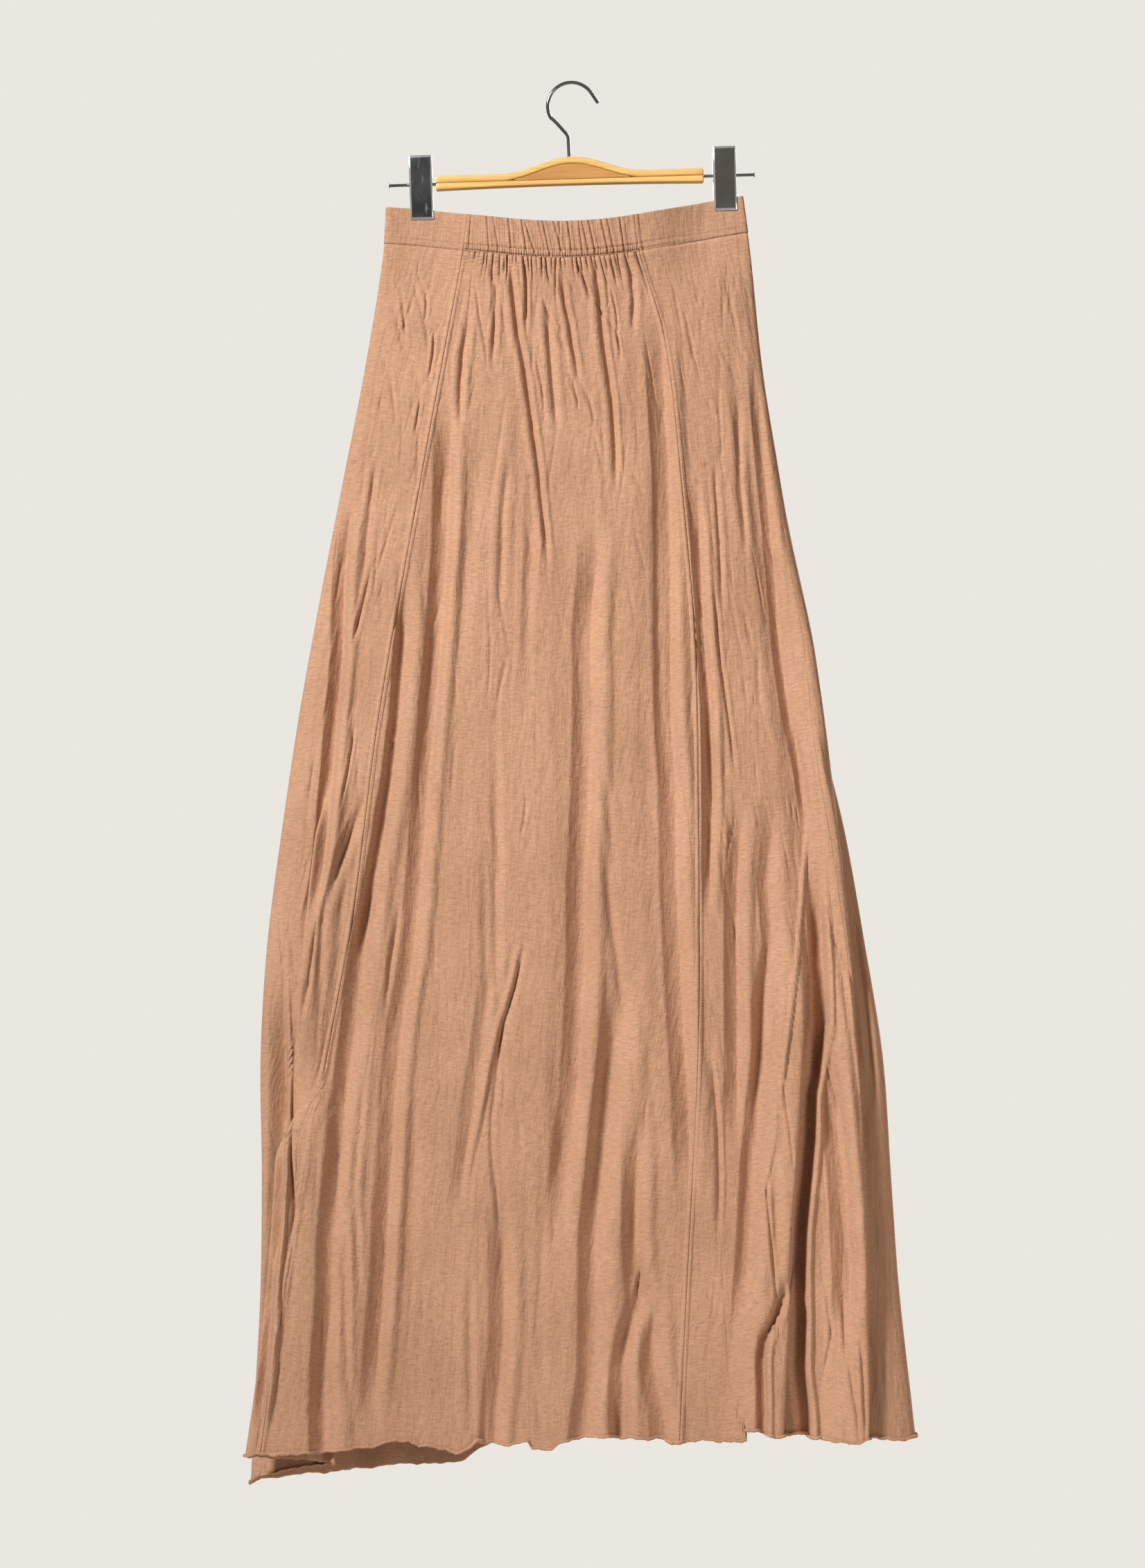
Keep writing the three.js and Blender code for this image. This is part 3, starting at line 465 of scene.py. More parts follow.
def rowRelief(x, z, gathered):
    look = bandLook
    down = bandTop(x) - z
    upper, lower = look["stitchRows"]
    rows = bell((down - upper) / look["grooveHalf"]) + bell((down - lower) / look["grooveHalf"])
    between = smooth((down - upper) / look["rowRun"]) * smooth((lower - down) / look["rowRun"])
    drift = look["drift"] * np.sin(x * look["driftRate"])
    pucker = np.cos(2 * np.pi * x / look["puckerPitch"] + drift)
    return (-look["groove"] * rows + look["raised"] * between
            + gathered * look["puckerDepth"] * pucker * (look["puckerRest"] + between))


# crinkles that follow the flare, drawn once for each face: first some wide soft ones
def sideways(chance):
    place = chance.uniform(0, 1)
    if chance.uniform() < crinkle["edgeShare"]:
        return place
    return 0.5 + 0.5 * math.copysign(abs(2 * place - 1) ** crinkle["edgePower"], place - 0.5)


def drawCrinkles(count, chance):
    wide, small = crinkle["wide"], crinkle["small"]
    rows = []
    for _ in range(wide["count"]):
        rows.append((
            chance.uniform(0, 1), chance.uniform(*wide["middle"]), chance.uniform(*wide["half"]),
            chance.uniform(*wide["width"]), chance.uniform(*wide["depth"]),
            chance.normal(0, wide["lean"]),
        ))
    for _ in range(count):
        middle = chance.uniform(*small["middle"])
        half = small["shortest"] + small["longer"] * chance.uniform() ** 2
        rows.append((
            sideways(chance), middle, half, chance.uniform(*small["width"]),
            chance.uniform(*small["depth"]), chance.normal(0, small["lean"] / half),
        ))
    return rows


crinkleChance = np.random.RandomState(crinkle["seed"])
crinkles = {
    1: drawCrinkles(crinkle["frontCount"], crinkleChance),
    -1: drawCrinkles(crinkle["backCount"], crinkleChance),
}


def crinkleRelief(x, z, face):
    left, right = readTable(outline, z, 1), readTable(outline, z, 2)
    share = (x - left) / (right - left)
    relief = np.zeros_like(x)
    for side in (1, -1):
        if not np.any(face == side):
            continue
        for place, middle, half, width, depth, lean in crinkles[side]:
            near = np.abs(z - middle) < half
            if not near.any():
                continue
            zNear, spread = z[near], (right - left)[near]
            offset = (share[near] - place) * spread - lean * (zNear - middle)
            relief[near] += (depth * bell(offset / width) * bell((zNear - middle) / half)
                             * (face[near] == side))
    return relief


def seamRelief(x, z, table):
    look = seamLook
    away = x - readTable(table, z)
    strip = look["raised"] * smooth((look["halfStrip"] - np.abs(away)) / look["stripRun"])
    ditch = look["ditch"] * bell(away / look["ditchHalf"])
    rows = look["rowDepth"] * bell((np.abs(away) - look["stitchAway"]) / look["rowHalf"])
    return strip - ditch - rows


def goreSeams(x, z):
    return seamRelief(x, z, leftGoreSeam) + seamRelief(x, z, rightGoreSeam)


def frontMask(x, z):
    return (x > readTable(leftGoreSeam, z)) & (x < readTable(rightGoreSeam, z))


def panelRelief(x, z, face):
    inFront = face > 0
    relief = foldRelief(x, z, face) + crinkleRelief(x, z, face)
    extra = np.zeros_like(x)
    for row in frontCreases + longFolds:
        extra += creaseAt(x, z, *row)
    extra += combRelief(x, z) * frontMask(x, z)
    extra += goreSeams(x, z)
    return relief + extra * inFront


def bandSurface(gathered):
    def relief(x, z, face):
        front = face > 0
        bumps = bandRelief(x, z) * frontMask(x, z) if gathered else 0
        return (bumps + goreSeams(x, z)) * front + rowRelief(x, z, gathered)
    return relief


# seams, each as the angle where it lies at a height
seamSearch = {"step": 0.01, "count": 165}


def frontSeamAngle(table, z):
    seamX = readTable(table, z)
    direction = 1 if seamX.mean() < 0 else -1
    steps = np.arange(seamSearch["count"]) * seamSearch["step"]
    angle = np.pi / 2 + direction * steps[None, :] + 0 * z[:, None]
    zGrid = np.repeat(z[:, None], len(steps), axis=1)
    x = clothPoints(angle, zGrid)[..., 0]
    away = (x - seamX[:, None]) * direction
    first = np.argmax(away <= 0, axis=1)
    rows = np.arange(len(z))
    over, short = away[rows, first], away[rows, first - 1]
    return angle[rows, first - 1] + direction * seamSearch["step"] * short / (short - over)


def leftSideAngle(z):
    return 2 * np.pi - angleAt(readTable(outline, z, 1) + leftSeamBehindEdge, z)


seams = {
    "leftSide": leftSideAngle,
    "leftGore": lambda z: frontSeamAngle(leftGoreSeam, z),
    "rightGore": lambda z: frontSeamAngle(rightGoreSeam, z),
    "rightSide": lambda z: angleAt(readTable(sideSeam, z), z),
    "leftSideBehind": lambda z: leftSideAngle(z) - 2 * np.pi,
}
# columns beside a seam, by their distance from it, and the points that an arc is measured with
rimColumns = np.array([0, 0.35, 0.75, 1.2, 1.7, 2.2, 2.7, 3.2, 3.8, 4.6, 5.6])
arcPoints = 700


def columnAngles(start, end, levels, count):
    share = np.linspace(0, 1, arcPoints)
    angle = mix(start(levels)[:, None], end(levels)[:, None], share[None, :])
    z = np.repeat(levels[:, None], arcPoints, axis=1)
    points = clothPoints(angle, z)
    steps = np.hypot(np.diff(points[..., 0]), np.diff(points[..., 1]))
    along = np.concatenate([np.zeros((len(levels), 1)), np.cumsum(steps, axis=1)], axis=1)
    columns = []
    for row in range(len(levels)):
        total = along[row, -1]
        near = rimColumns + cloth["seamGap"] / 2
        places = np.concatenate([
            near, np.linspace(near[-1], total - near[-1], count + 2)[1:-1], total - near[::-1]])
        columns.append(np.interp(places, along[row], angle[row]))
    return np.array(columns)


def unit(vectors):
    return vectors / np.linalg.norm(vectors, axis=-1, keepdims=True)


def gridNormals(points):
    return unit(np.cross(np.gradient(points, axis=0), np.gradient(points, axis=1)))


def shellMesh(name, outer, inner, uv):
    rows, columns = outer.shape[:2]
    count = rows * columns
    grid = np.arange(count).reshape(rows, columns)
    a, b = grid[:-1, :-1].ravel(), grid[1:, :-1].ravel()
    c, d = grid[1:, 1:].ravel(), grid[:-1, 1:].ravel()
    left, right = grid[:, 0], grid[:, -1]
    top, foot = grid[0], grid[-1]
    faces = np.concatenate([
        np.stack([a, b, c, d], axis=1),
        np.stack([a, d, c, b], axis=1) + count,
        np.stack([left[:-1], left[:-1] + count, left[1:] + count, left[1:]], axis=1),
        np.stack([right[:-1], right[1:], right[1:] + count, right[:-1] + count], axis=1),
        np.stack([top[:-1], top[1:], top[1:] + count, top[:-1] + count], axis=1),
        np.stack([foot[:-1], foot[:-1] + count, foot[1:] + count, foot[1:]], axis=1),
    ])
    mesh = bpy.data.meshes.new(name)
    places = np.concatenate([outer.reshape(-1, 3), inner.reshape(-1, 3)]) * mm
    mesh.vertices.add(len(places))
    mesh.vertices.foreach_set("co", places.ravel())
    mesh.loops.add(faces.size)
    mesh.loops.foreach_set("vertex_index", faces.ravel().astype(np.int32))
    mesh.polygons.add(len(faces))
    mesh.polygons.foreach_set("loop_start", np.arange(0, faces.size, 4, dtype=np.int32))
    mesh.update(calc_edges=True)
    layer = mesh.uv_layers.new(name="along the cloth")
    flat = np.concatenate([uv.reshape(-1, 2), uv.reshape(-1, 2)])[faces.ravel()] * mm
    layer.data.foreach_set("uv", flat.ravel())
    mesh.polygons.foreach_set("use_smooth", np.ones(len(faces), dtype=bool))
    mesh.validate()
    piece = bpy.data.objects.new(name, mesh)
    scene.collection.objects.link(piece)
    return piece


# the cut edge of jersey curls to the right side
hemRoll = {
    "steps": 7, "radius": 1.15, "turn": 235, "waves": 9, "waveShare": 0.3, "waveRate": 0.037,
    "wavePhase": 1.7, "waveFade": 1.5,
}


def rolledRows(points, normals, phase):
    edge, normal = points[-1], normals[-1]
    down = points[-1] - points[-2]
    down = unit(down - normal * np.sum(down * normal, axis=-1, keepdims=True))
    x, rate = edge[:, 0], hemRoll["waveRate"]
    wave = sum(np.sin(x * rate * (k + 1) + phase * (k + hemRoll["wavePhase"]))
               / (k + hemRoll["waveFade"]) for k in range(hemRoll["waves"]))
    radius = (hemRoll["radius"] * (1 + hemRoll["waveShare"] * wave))[:, None]
    extra, turned = [], []
    for step in range(1, hemRoll["steps"] + 1):
        turn = math.radians(hemRoll["turn"]) * step / hemRoll["steps"]
        extra.append(edge + normal * radius * (1 - math.cos(turn)) + down * radius * math.sin(turn))
        turned.append(normal * math.cos(turn) - down * math.sin(turn))
    return np.concatenate([points, extra]), np.concatenate([normals, turned])


# the front hem as it is seen: place across and height, then the turns round the tube it holds for
frontHem = np.array([
    (-285, -1190), (-236, -1190), (-219, -1189), (-198, -1185), (-179, -1184), (-165, -1180),
    (-147, -1181), (-125, -1184), (-108, -1187), (-98, -1190), (-88.5, -1187), (-85.5, -1181),
    (-79, -1184), (-47, -1183), (-37.5, -1180), (-34, -1186), (-17.6, -1187), (-12, -1183),
    (25.5, -1177), (43, -1180), (53, -1176), (76, -1179), (92, -1182), (133, -1180), (153, -1179),
    (154.6, -1171), (166, -1170), (177, -1176), (199, -1177), (219, -1179), (240, -1182),
    (258, -1179), (278, -1183), (310, -1182),
])
hemTurns = {"from": 0.165, "full": 0.185, "to": 0.5}
# waves of the cut edge: height, radians in a millimetre, start
cutWaves = [
    (0.9, 0.071, 0.4), (0.6, 0.163, 1.9), (0.45, 0.31, 3.1), (0.35, 0.62, 0.7), (0.2, 1.37, 2.2),
]
rowCrowding = 0.62


def hemAt(angle):
    turn = ((np.pi - angle) / (2 * np.pi)) % 1
    plain = readTable(hemHeight, turn)
    x = clothPoints(angle, plain)[..., 0]
    seen = np.interp(x, frontHem[:, 0], frontHem[:, 1])
    share = smooth((turn - hemTurns["from"]) / (hemTurns["full"] - hemTurns["from"]))
    share = share * (turn < hemTurns["to"])
    rough = sum(high * np.sin(x * often + start) for high, often, start in cutWaves)
    return mix(plain, seen, share) + rough


def makePanel(name, start, end, rows, count, phase):
    steps = np.linspace(0, 1, rows)
    shares = steps * (rowCrowding + (1 - rowCrowding) * steps)
    levels = mix(panelLevels["top"], panelLevels["foot"], shares)
    angles = columnAngles(seams[start], seams[end], levels, count)
    z = mix(bandFoot(angles) - cloth["seamGap"] / 2, hemAt(angles), shares[:, None])
    points = clothPoints(angles, z, panelRelief)
    normals = gridNormals(points)
    points, normals = rolledRows(points, normals, phase)
    half = cloth["wall"] / 2
    return finishPiece(name, points, normals, np.full(len(points), half))


def makeBand(name, start, end, rows, count, gathered):
    levels = np.linspace(waist["bandTopLevel"], panelLevels["top"], rows)
    shares = np.linspace(0, 1, rows)[:, None]
    angles = columnAngles(seams[start], seams[end], levels, count)
    foot = bandFoot(angles) + cloth["seamGap"] / 2
    z = foot + (waist["bandHeight"] - cloth["bandWall"] / 2) * (1 - shares)
    points = clothPoints(angles, z, bandSurface(gathered))
    normals = gridNormals(points)
    half = cloth["bandWall"] / 2
    up = np.array([0, 0, 1.0])
    turns = np.radians(bandLook["foldTurns"])
    folded = np.array([points[0] + up * half * math.sin(turn) for turn in turns])
    points = np.concatenate([folded, points])
    normals = np.concatenate([np.repeat(normals[:1], len(turns), axis=0), normals])
    halves = np.concatenate([half * np.cos(turns), np.full(rows, half)])
    return finishPiece(name, points, normals, halves)


def finishPiece(name, points, normals, halves):
    offset = normals * halves[:, None, None]
    across = np.linalg.norm(np.diff(points, axis=1), axis=-1)
    u = np.concatenate([np.zeros((len(points), 1)), np.cumsum(across, axis=1)], axis=1)
    u -= u.mean(axis=1, keepdims=True)
    down = np.linalg.norm(np.diff(points, axis=0), axis=-1)
    v = -np.concatenate([np.zeros((1, points.shape[1])), np.cumsum(down, axis=0)])
    area = 0.5 * (across[1:] + across[:-1]) * 0.5 * (down[:, 1:] + down[:, :-1])
    piece = shellMesh(name, points + offset, points - offset, np.stack([u, v], axis=-1))
    piece["cutArea"] = float(area.sum() * mm * mm)
    piece["cutSize"] = [float(u[:, -1].max() - u[:, 0].min()) * mm, float(-v.min()) * mm]
    return piece


fineness = 1
fewestLines = 12


def lineCount(full):
    return max(fewestLines, int(full * fineness))


# materials
def newMaterial(name):
    material = bpy.data.materials.new(name)
    material.use_nodes = True
    tree = material.node_tree
    return material, tree, tree.nodes["Principled BSDF"]


def setInputs(node, values):
    for socket, value in values.items():
        node.inputs[socket].default_value = value


def objectPlace(tree):
    return tree.nodes.new("ShaderNodeTexCoord").outputs["Object"]


def noiseOn(tree, source, scale, stretch=(1, 1, 1), detail=4, rough=0.55):
    mapping = tree.nodes.new("ShaderNodeMapping")
    setInputs(mapping, {"Scale": stretch})
    tree.links.new(source, mapping.inputs["Vector"])
    noise = tree.nodes.new("ShaderNodeTexNoise")
    setInputs(noise, {"Scale": scale, "Detail": detail, "Roughness": rough})
    tree.links.new(mapping.outputs["Vector"], noise.inputs["Vector"])
    return noise.outputs["Fac"]


def rampOf(tree, factor, places, colors):
    ramp = tree.nodes.new("ShaderNodeValToRGB")
    while len(ramp.color_ramp.elements) < len(places):
        ramp.color_ramp.elements.new(0.5)
    for element, place, color in zip(ramp.color_ramp.elements, places, colors):
        element.position = place
        element.color = (*color, 1)
    tree.links.new(factor, ramp.inputs["Fac"])
    return ramp.outputs["Color"]


# the places of a Mix node's colour sockets
mixSockets = {"first": 6, "second": 7, "result": 2}


def mixColors(tree, kind, first, second):
    node = tree.nodes.new("ShaderNodeMix")
    node.data_type = "RGBA"
    node.blend_type = kind
    node.inputs["Factor"].default_value = 1
    tree.links.new(first, node.inputs[mixSockets["first"]])
    tree.links.new(second, node.inputs[mixSockets["second"]])
    return node.outputs[mixSockets["result"]]


def bumpOf(tree, height, strength, distance, before=None):
    bump = tree.nodes.new("ShaderNodeBump")
    setInputs(bump, {"Strength": strength, "Distance": distance})
    tree.links.new(height, bump.inputs["Height"])
    if before is not None:
        tree.links.new(before, bump.inputs["Normal"])
    return bump.outputs["Normal"]


jerseyLook = {
    "tones": ((0.445, 0.252, 0.156), (0.50, 0.288, 0.182)), "toneAt": (0.3, 0.62),
    "flecks": ((0.8, 0.77, 0.75), (1, 1, 1), (1.2, 1.19, 1.17)), "fleckAt": (0.32, 0.5, 0.7),
    "hairs": ((0.88, 0.87, 0.86), (1.12, 1.12, 1.11)), "hairAt": (0.3, 0.7),
    "cloud": {"scale": 14, "detail": 3},
    "noises": {
        "slub": {"scale": 560, "stretch": (0.2, 1, 1), "detail": 4, "rough": 0.75},
        "fuzz": {"scale": 1100, "stretch": (1, 0.6, 1), "detail": 3, "rough": 0.7},
        "creased": {"scale": 130, "stretch": (1, 0.22, 1), "detail": 4, "rough": 0.6},
        "crushed": {"scale": 300, "stretch": (1, 0.3, 1), "detail": 3, "rough": 0.6},
    },
    "bumps": (("slub", 0.35, 0.0003), ("creased", 0.75, 0.002), ("crushed", 0.7, 0.0009),
              ("fuzz", 0.3, 0.0002)),
    "surface": {"Roughness": 0.92, "Specular IOR Level": 0.2, "Sheen Weight": 0.1,
                "Sheen Roughness": 0.5},
}


def makeJersey(name, shade=1.0):
    look = jerseyLook
    material, tree, shader = newMaterial(name)
    uv = tree.nodes.new("ShaderNodeUVMap")
    uv.uv_map = "along the cloth"
    cloudy = noiseOn(tree, objectPlace(tree), **look["cloud"])
    noises = {key: noiseOn(tree, uv.outputs["UV"], **values)
              for key, values in look["noises"].items()}
    tones = [tuple(shade * channel for channel in tone) for tone in look["tones"]]
    color = rampOf(tree, cloudy, look["toneAt"], tones)
    for key, places, colors in (("slub", "fleckAt", "flecks"), ("fuzz", "hairAt", "hairs")):
        layer = rampOf(tree, noises[key], look[places], look[colors])
        color = mixColors(tree, "MULTIPLY", color, layer)
    tree.links.new(color, shader.inputs["Base Color"])
    setInputs(shader, look["surface"])
    normal = None
    for key, strength, distance in look["bumps"]:
        normal = bumpOf(tree, noises[key], strength, distance, normal)
    tree.links.new(normal, shader.inputs["Normal"])
    return material


jersey = makeJersey("camel melange jersey")
bandJersey = makeJersey("waistband jersey", 0.97)
print("materials of the cloth made")

# cloth pieces: name, node, the seams at both ends, rows, columns, how it is held, and for a
# panel where the waves of its hem start
panels = [
    ("frontLeftPanel", "front_left_panel", "leftSide", "leftGore", 190, 196, "hung", 1.3),
    ("frontCentrePanel", "front_centre_panel", "leftGore", "rightGore", 190, 226, "gathered", 2.9),
    ("frontRightPanel", "front_right_panel", "rightGore", "rightSide", 190, 196, "hung", 4.1),
    ("backPanel", "back_panel", "rightSide", "leftSideBehind", 170, 200, "hung", 5.2),
]
# bands in the same way, with 1 at the end for the gathered one
bands = [
    ("bandFrontLeft", "waistband_front_left", "leftSide", "leftGore", 26, 120, "hung", 0),
    ("bandFrontGathered", "waistband_front_gathered", "leftGore", "rightGore", 30, 420,
     "gathered", 1),
    ("bandFrontRight", "waistband_front_right", "rightGore", "rightSide", 26, 120, "hung", 0),
    ("bandBack", "waistband_back", "rightSide", "leftSideBehind", 22, 300, "hung", 0),
]
# the cut of what shows, in metres: width, length and area, then the pieces that hold it
made = {}
for makePiece, material, table in ((makePanel, jersey, panels), (makeBand, bandJersey, bands)):
    for name, node, start, end, rows, count, held, last in table:
        piece = makePiece(name, start, end, lineCount(rows), lineCount(count), last)
        piece.data.materials.append(material)
        made[node] = (piece, held)
for node, (piece, held) in made.items():
    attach(piece, "root")
    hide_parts(node)
    print(node, "cut", [round(value, 3) for value in piece["cutSize"]],
          "area", round(piece["cutArea"], 4))
print("cloth made")

# sewing: short thread stitches laid in rows on the cloth
stitchLook = {
    "coverPitch": 2.4, "coverLength": 1.3, "gorePitch": 2.6, "goreLength": 1.9,
    "bandGorePitch": 2.64, "radius": 0.26, "flat": 0.8, "sides": 6, "rings": 4, "lift": 0.02,
    "bandPoints": 2400, "gorePoints": 900, "bandGorePoints": 60, "turn": 0.002,
    "belowBand": 0.6, "pastHem": 3, "fromTop": 1.5, "fromFoot": 1, "goreLevel": -125,
}
frameLook = {"turn": 0.0012, "rise": 0.4}


def clothFrame(angle, z, relief):
    turn, rise = frameLook["turn"], frameLook["rise"]
    across = clothPoints(angle + turn, z, relief) - clothPoints(angle - turn, z, relief)
    up = clothPoints(angle, z + rise, relief) - clothPoints(angle, z - rise, relief)
    return clothPoints(angle, z, relief), unit(np.cross(up, across))


def evenAlong(points, pitch):
    along = np.concatenate([[0], np.cumsum(np.linalg.norm(np.diff(points, axis=0), axis=1))])
    return np.interp(np.arange(pitch / 2, along[-1], pitch), along, np.arange(len(points)))


bpy.ops.mesh.primitive_uv_sphere_add(
    segments=stitchLook["sides"], ring_count=stitchLook["rings"], radius=1, location=(0, 0, 0))
bead = bpy.context.object
beadPoints = np.array([tuple(point.co) for point in bead.data.vertices])
beadFaces = [list(face.vertices) for face in bead.data.polygons]
bpy.data.objects.remove(bead, do_unlink=True)


def stitchRow(angle, z, relief, half, pitch, length):
    point, normal = clothFrame(angle, z, relief)
    places, index = evenAlong(point, pitch), np.arange(len(point))

    def between(values, where):
        return np.stack([np.interp(where, index, values[:, k]) for k in range(3)], axis=1)

    place, out = between(point, places), unit(between(normal, places))
    along = between(point, places + 0.5) - between(point, places - 0.5)
    along = unit(along - out * np.sum(along * out, axis=1, keepdims=True))
    side = np.cross(out, along)
    place = place + out * (half + stitchLook["lift"])
    radius = stitchLook["radius"]
    rows = (place[:, None, :] + beadPoints[None, :, 2:3] * along[:, None, :] * length / 2
            + beadPoints[None, :, 0:1] * side[:, None, :] * radius
            + beadPoints[None, :, 1:2] * out[:, None, :] * radius * stitchLook["flat"])
    return rows.reshape(-1, 3)


def stitchPiece(name, rows, material):
    points = np.concatenate(rows) * mm
    size = len(beadPoints)
    faces = [[index + first for index in face]
             for first in range(0, len(points), size) for face in beadFaces]
    mesh = bpy.data.meshes.new(name)
    mesh.from_pydata(points.tolist(), [], faces)
    mesh.polygons.foreach_set("use_smooth", np.ones(len(faces), dtype=bool))
    piece = bpy.data.objects.new(name, mesh)
    scene.collection.objects.link(piece)
    piece.data.materials.append(material)
    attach(piece, "root")


# the dark thread colour is painted shade: it darkens the band's stitch rows to stand for the shaded
# needle pits between stitches; the pale one is the topstitch thread's own colour
threadLook = {
    "dark": (0.2, 0.1, 0.06), "pale": (0.6, 0.4, 0.27), "twist": {"scale": 2500, "detail": 2},
    "shade": 0.82, "shadeAt": (0.3, 0.7), "bump": (0.2, 0.0001), "surface": {"Roughness": 0.7},
}


def makeThread(name, color):
    look = threadLook
    material, tree, shader = newMaterial(name)
    twist = noiseOn(tree, objectPlace(tree), **look["twist"])
    shaded = tuple(look["shade"] * channel for channel in color)
    base = rampOf(tree, twist, look["shadeAt"], (shaded, color))
    tree.links.new(base, shader.inputs["Base Color"])
    setInputs(shader, look["surface"])
    tree.links.new(bumpOf(tree, twist, *look["bump"]), shader.inputs["Normal"])
    return material


# angles at a distance to either side of a seam
def besideSeam(angle, z, away):
    turn = stitchLook["turn"]
    spread = clothPoints(angle + turn, z)[:, 0] - clothPoints(angle - turn, z)[:, 0]
    return angle + away * 2 * turn / spread


# the band's stitches are real thread, but their dark brown colour is painted shade standing for the
# shaded needle pits and sunken rows
threadDarkenedAsPitShade = makeThread("brown thread darkened as painted pit shade", threadLook["dark"])
paleThread = makeThread("topstitch thread", threadLook["pale"])
bandHalf, panelHalf = cloth["bandWall"] / 2, cloth["wall"] / 2
rows = []
around = np.linspace(0, 1, stitchLook["bandPoints"])
level = np.array([float(waist["levelZ"])])
for _, _, start, end, _, _, _, gathered in bands:
    angle = mix(seams[start](level), seams[end](level), around)
    for down in bandLook["stitchRows"]:
        z = bandFoot(angle) + waist["bandHeight"] - down
        rows.append(stitchRow(angle, z, bandSurface(gathered), bandHalf,
                              stitchLook["coverPitch"], stitchLook["coverLength"]))
stitchPiece("bandStitching", rows, threadDarkenedAsPitShade)

rows = []
levels = np.linspace(panelLevels["top"], panelLevels["foot"] + stitchLook["pastHem"],
                     stitchLook["gorePoints"])
shares = (levels - panelLevels["top"]) / (panelLevels["foot"] - panelLevels["top"])
upright = np.linspace(stitchLook["fromTop"], waist["bandHeight"] - stitchLook["fromFoot"],
                      stitchLook["bandGorePoints"])
bothSides = (-seamLook["stitchAway"], seamLook["stitchAway"])
for seam in ("leftGore", "rightGore"):
    angle = seams[seam](levels)
    z = mix(bandFoot(angle) - stitchLook["belowBand"], hemAt(angle), shares)
    for away in bothSides:
        rows.append(stitchRow(besideSeam(angle, z, away), z, panelRelief, panelHalf,
                              stitchLook["gorePitch"], stitchLook["goreLength"]))
    middle = seams[seam](np.array([float(stitchLook["goreLevel"])]))
    angle = seams[seam](bandFoot(np.repeat(middle, len(upright))) + waist["bandHeight"] - upright)
    z = bandFoot(angle) + waist["bandHeight"] - upright
    for away in bothSides:
        rows.append(stitchRow(besideSeam(angle, z, away), z, bandSurface(1), bandHalf,
                              stitchLook["bandGorePitch"], stitchLook["coverLength"]))
stitchPiece("goreStitching", rows, paleThread)
print("stitched")

# hanger, in a frame of its own at the middle of the bar, turned a little in the end
hangerPlace = {"x": -1.2, "z": -83.6, "tilt": 1.74}
bar = {
    "half": 117, "deep": 12, "lamination": 6, "bow": 1.6, "humpHeight": 13.4, "humpHalf": 62,
    "humpX": 1.8, "steps": 52, "gap": 0.3, "edge": 1.3,
}


def startFrom(name, add, **settings):
    bpy.ops.object.select_all(action="DESELECT")
    add(**settings)
    piece = bpy.context.object
    piece.name = name
    return piece


def applyPlace():
    bpy.ops.object.transform_apply(location=True, rotation=True, scale=True)


def chooseIn(kind, action):
    bpy.ops.mesh.select_mode(type=kind)
    bpy.ops.mesh.select_all(action=action)


def startBox(name, low, high):
    middle = [(a + b) / 2 * mm for a, b in zip(low, high)]
    piece = startFrom(name, bpy.ops.mesh.primitive_cube_add, size=1, location=middle)
    bpy.ops.object.mode_set(mode="EDIT")
    bpy.ops.transform.resize(
        value=[(b - a) * mm for a, b in zip(low, high)], center_override=middle)
    return piece


# picks faces by a test of their middle and normal, both in the hanger's own frame, millimetres
def pickFaces(piece, test):
    chooseIn("FACE", "DESELECT")
    shape = bmesh.from_edit_mesh(piece.data)
    shape.faces.ensure_lookup_table()
    for face in shape.faces:
        middle = (piece.matrix_world @ face.calc_center_median()) / mm
        if test(middle, face.normal):
            face.select_set(True)
    bmesh.update_edit_mesh(piece.data)


def pickPoints(piece, test):
    chooseIn("VERT", "DESELECT")
    shape = bmesh.from_edit_mesh(piece.data)
    for point in shape.verts:
        if test((piece.matrix_world @ point.co) / mm):
            point.select_set(True)
    shape.select_flush_mode()
    bmesh.update_edit_mesh(piece.data)


def push(offset):
    bpy.ops.transform.translate(value=[value * mm for value in offset])


def extrude(offset):
    bpy.ops.mesh.extrude_region_move(
        TRANSFORM_OT_translate={"value": [value * mm for value in offset]})


def cutAt(axis, place):
    bpy.ops.mesh.select_all(action="SELECT")
    point, normal = [0, 0, 0], [0, 0, 0]
    point[axis], normal[axis] = place * mm, 1
    bpy.ops.mesh.bisect(plane_co=point, plane_no=normal)


leaveLook = {"weld": 1e-6, "smoothAngle": 35, "edgeAngle": 40}


def leaveEdit(piece, edge=0, segments=2, angle=leaveLook["edgeAngle"], place=True):
    bpy.ops.mesh.select_all(action="SELECT")
    bpy.ops.mesh.remove_doubles(threshold=leaveLook["weld"])
    bpy.ops.object.mode_set(mode="OBJECT")
    applyPlace()
    if edge:
        bevel = piece.modifiers.new("bevel", "BEVEL")
        bevel.width, bevel.segments = edge * mm, segments
        bevel.limit_method, bevel.angle_limit = "ANGLE", math.radians(angle)
        bpy.ops.object.modifier_apply(modifier="bevel")
    bpy.ops.object.shade_smooth_by_angle(angle=math.radians(leaveLook["smoothAngle"]))
    if place:
        piece.location = (hangerPlace["x"] * mm, 0, hangerPlace["z"] * mm)
        piece.rotation_euler = (0, -math.radians(hangerPlace["tilt"]), 0)
        applyPlace()
    piece.select_set(False)


def dress(piece, node, slot, *materials):
    for material in materials:
        piece.data.materials.append(material)
    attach(piece, "root")
    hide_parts(node)


def humpAt(x):
    return bar["humpHeight"] * float(bell((x - bar["humpX"]) / bar["humpHalf"]))


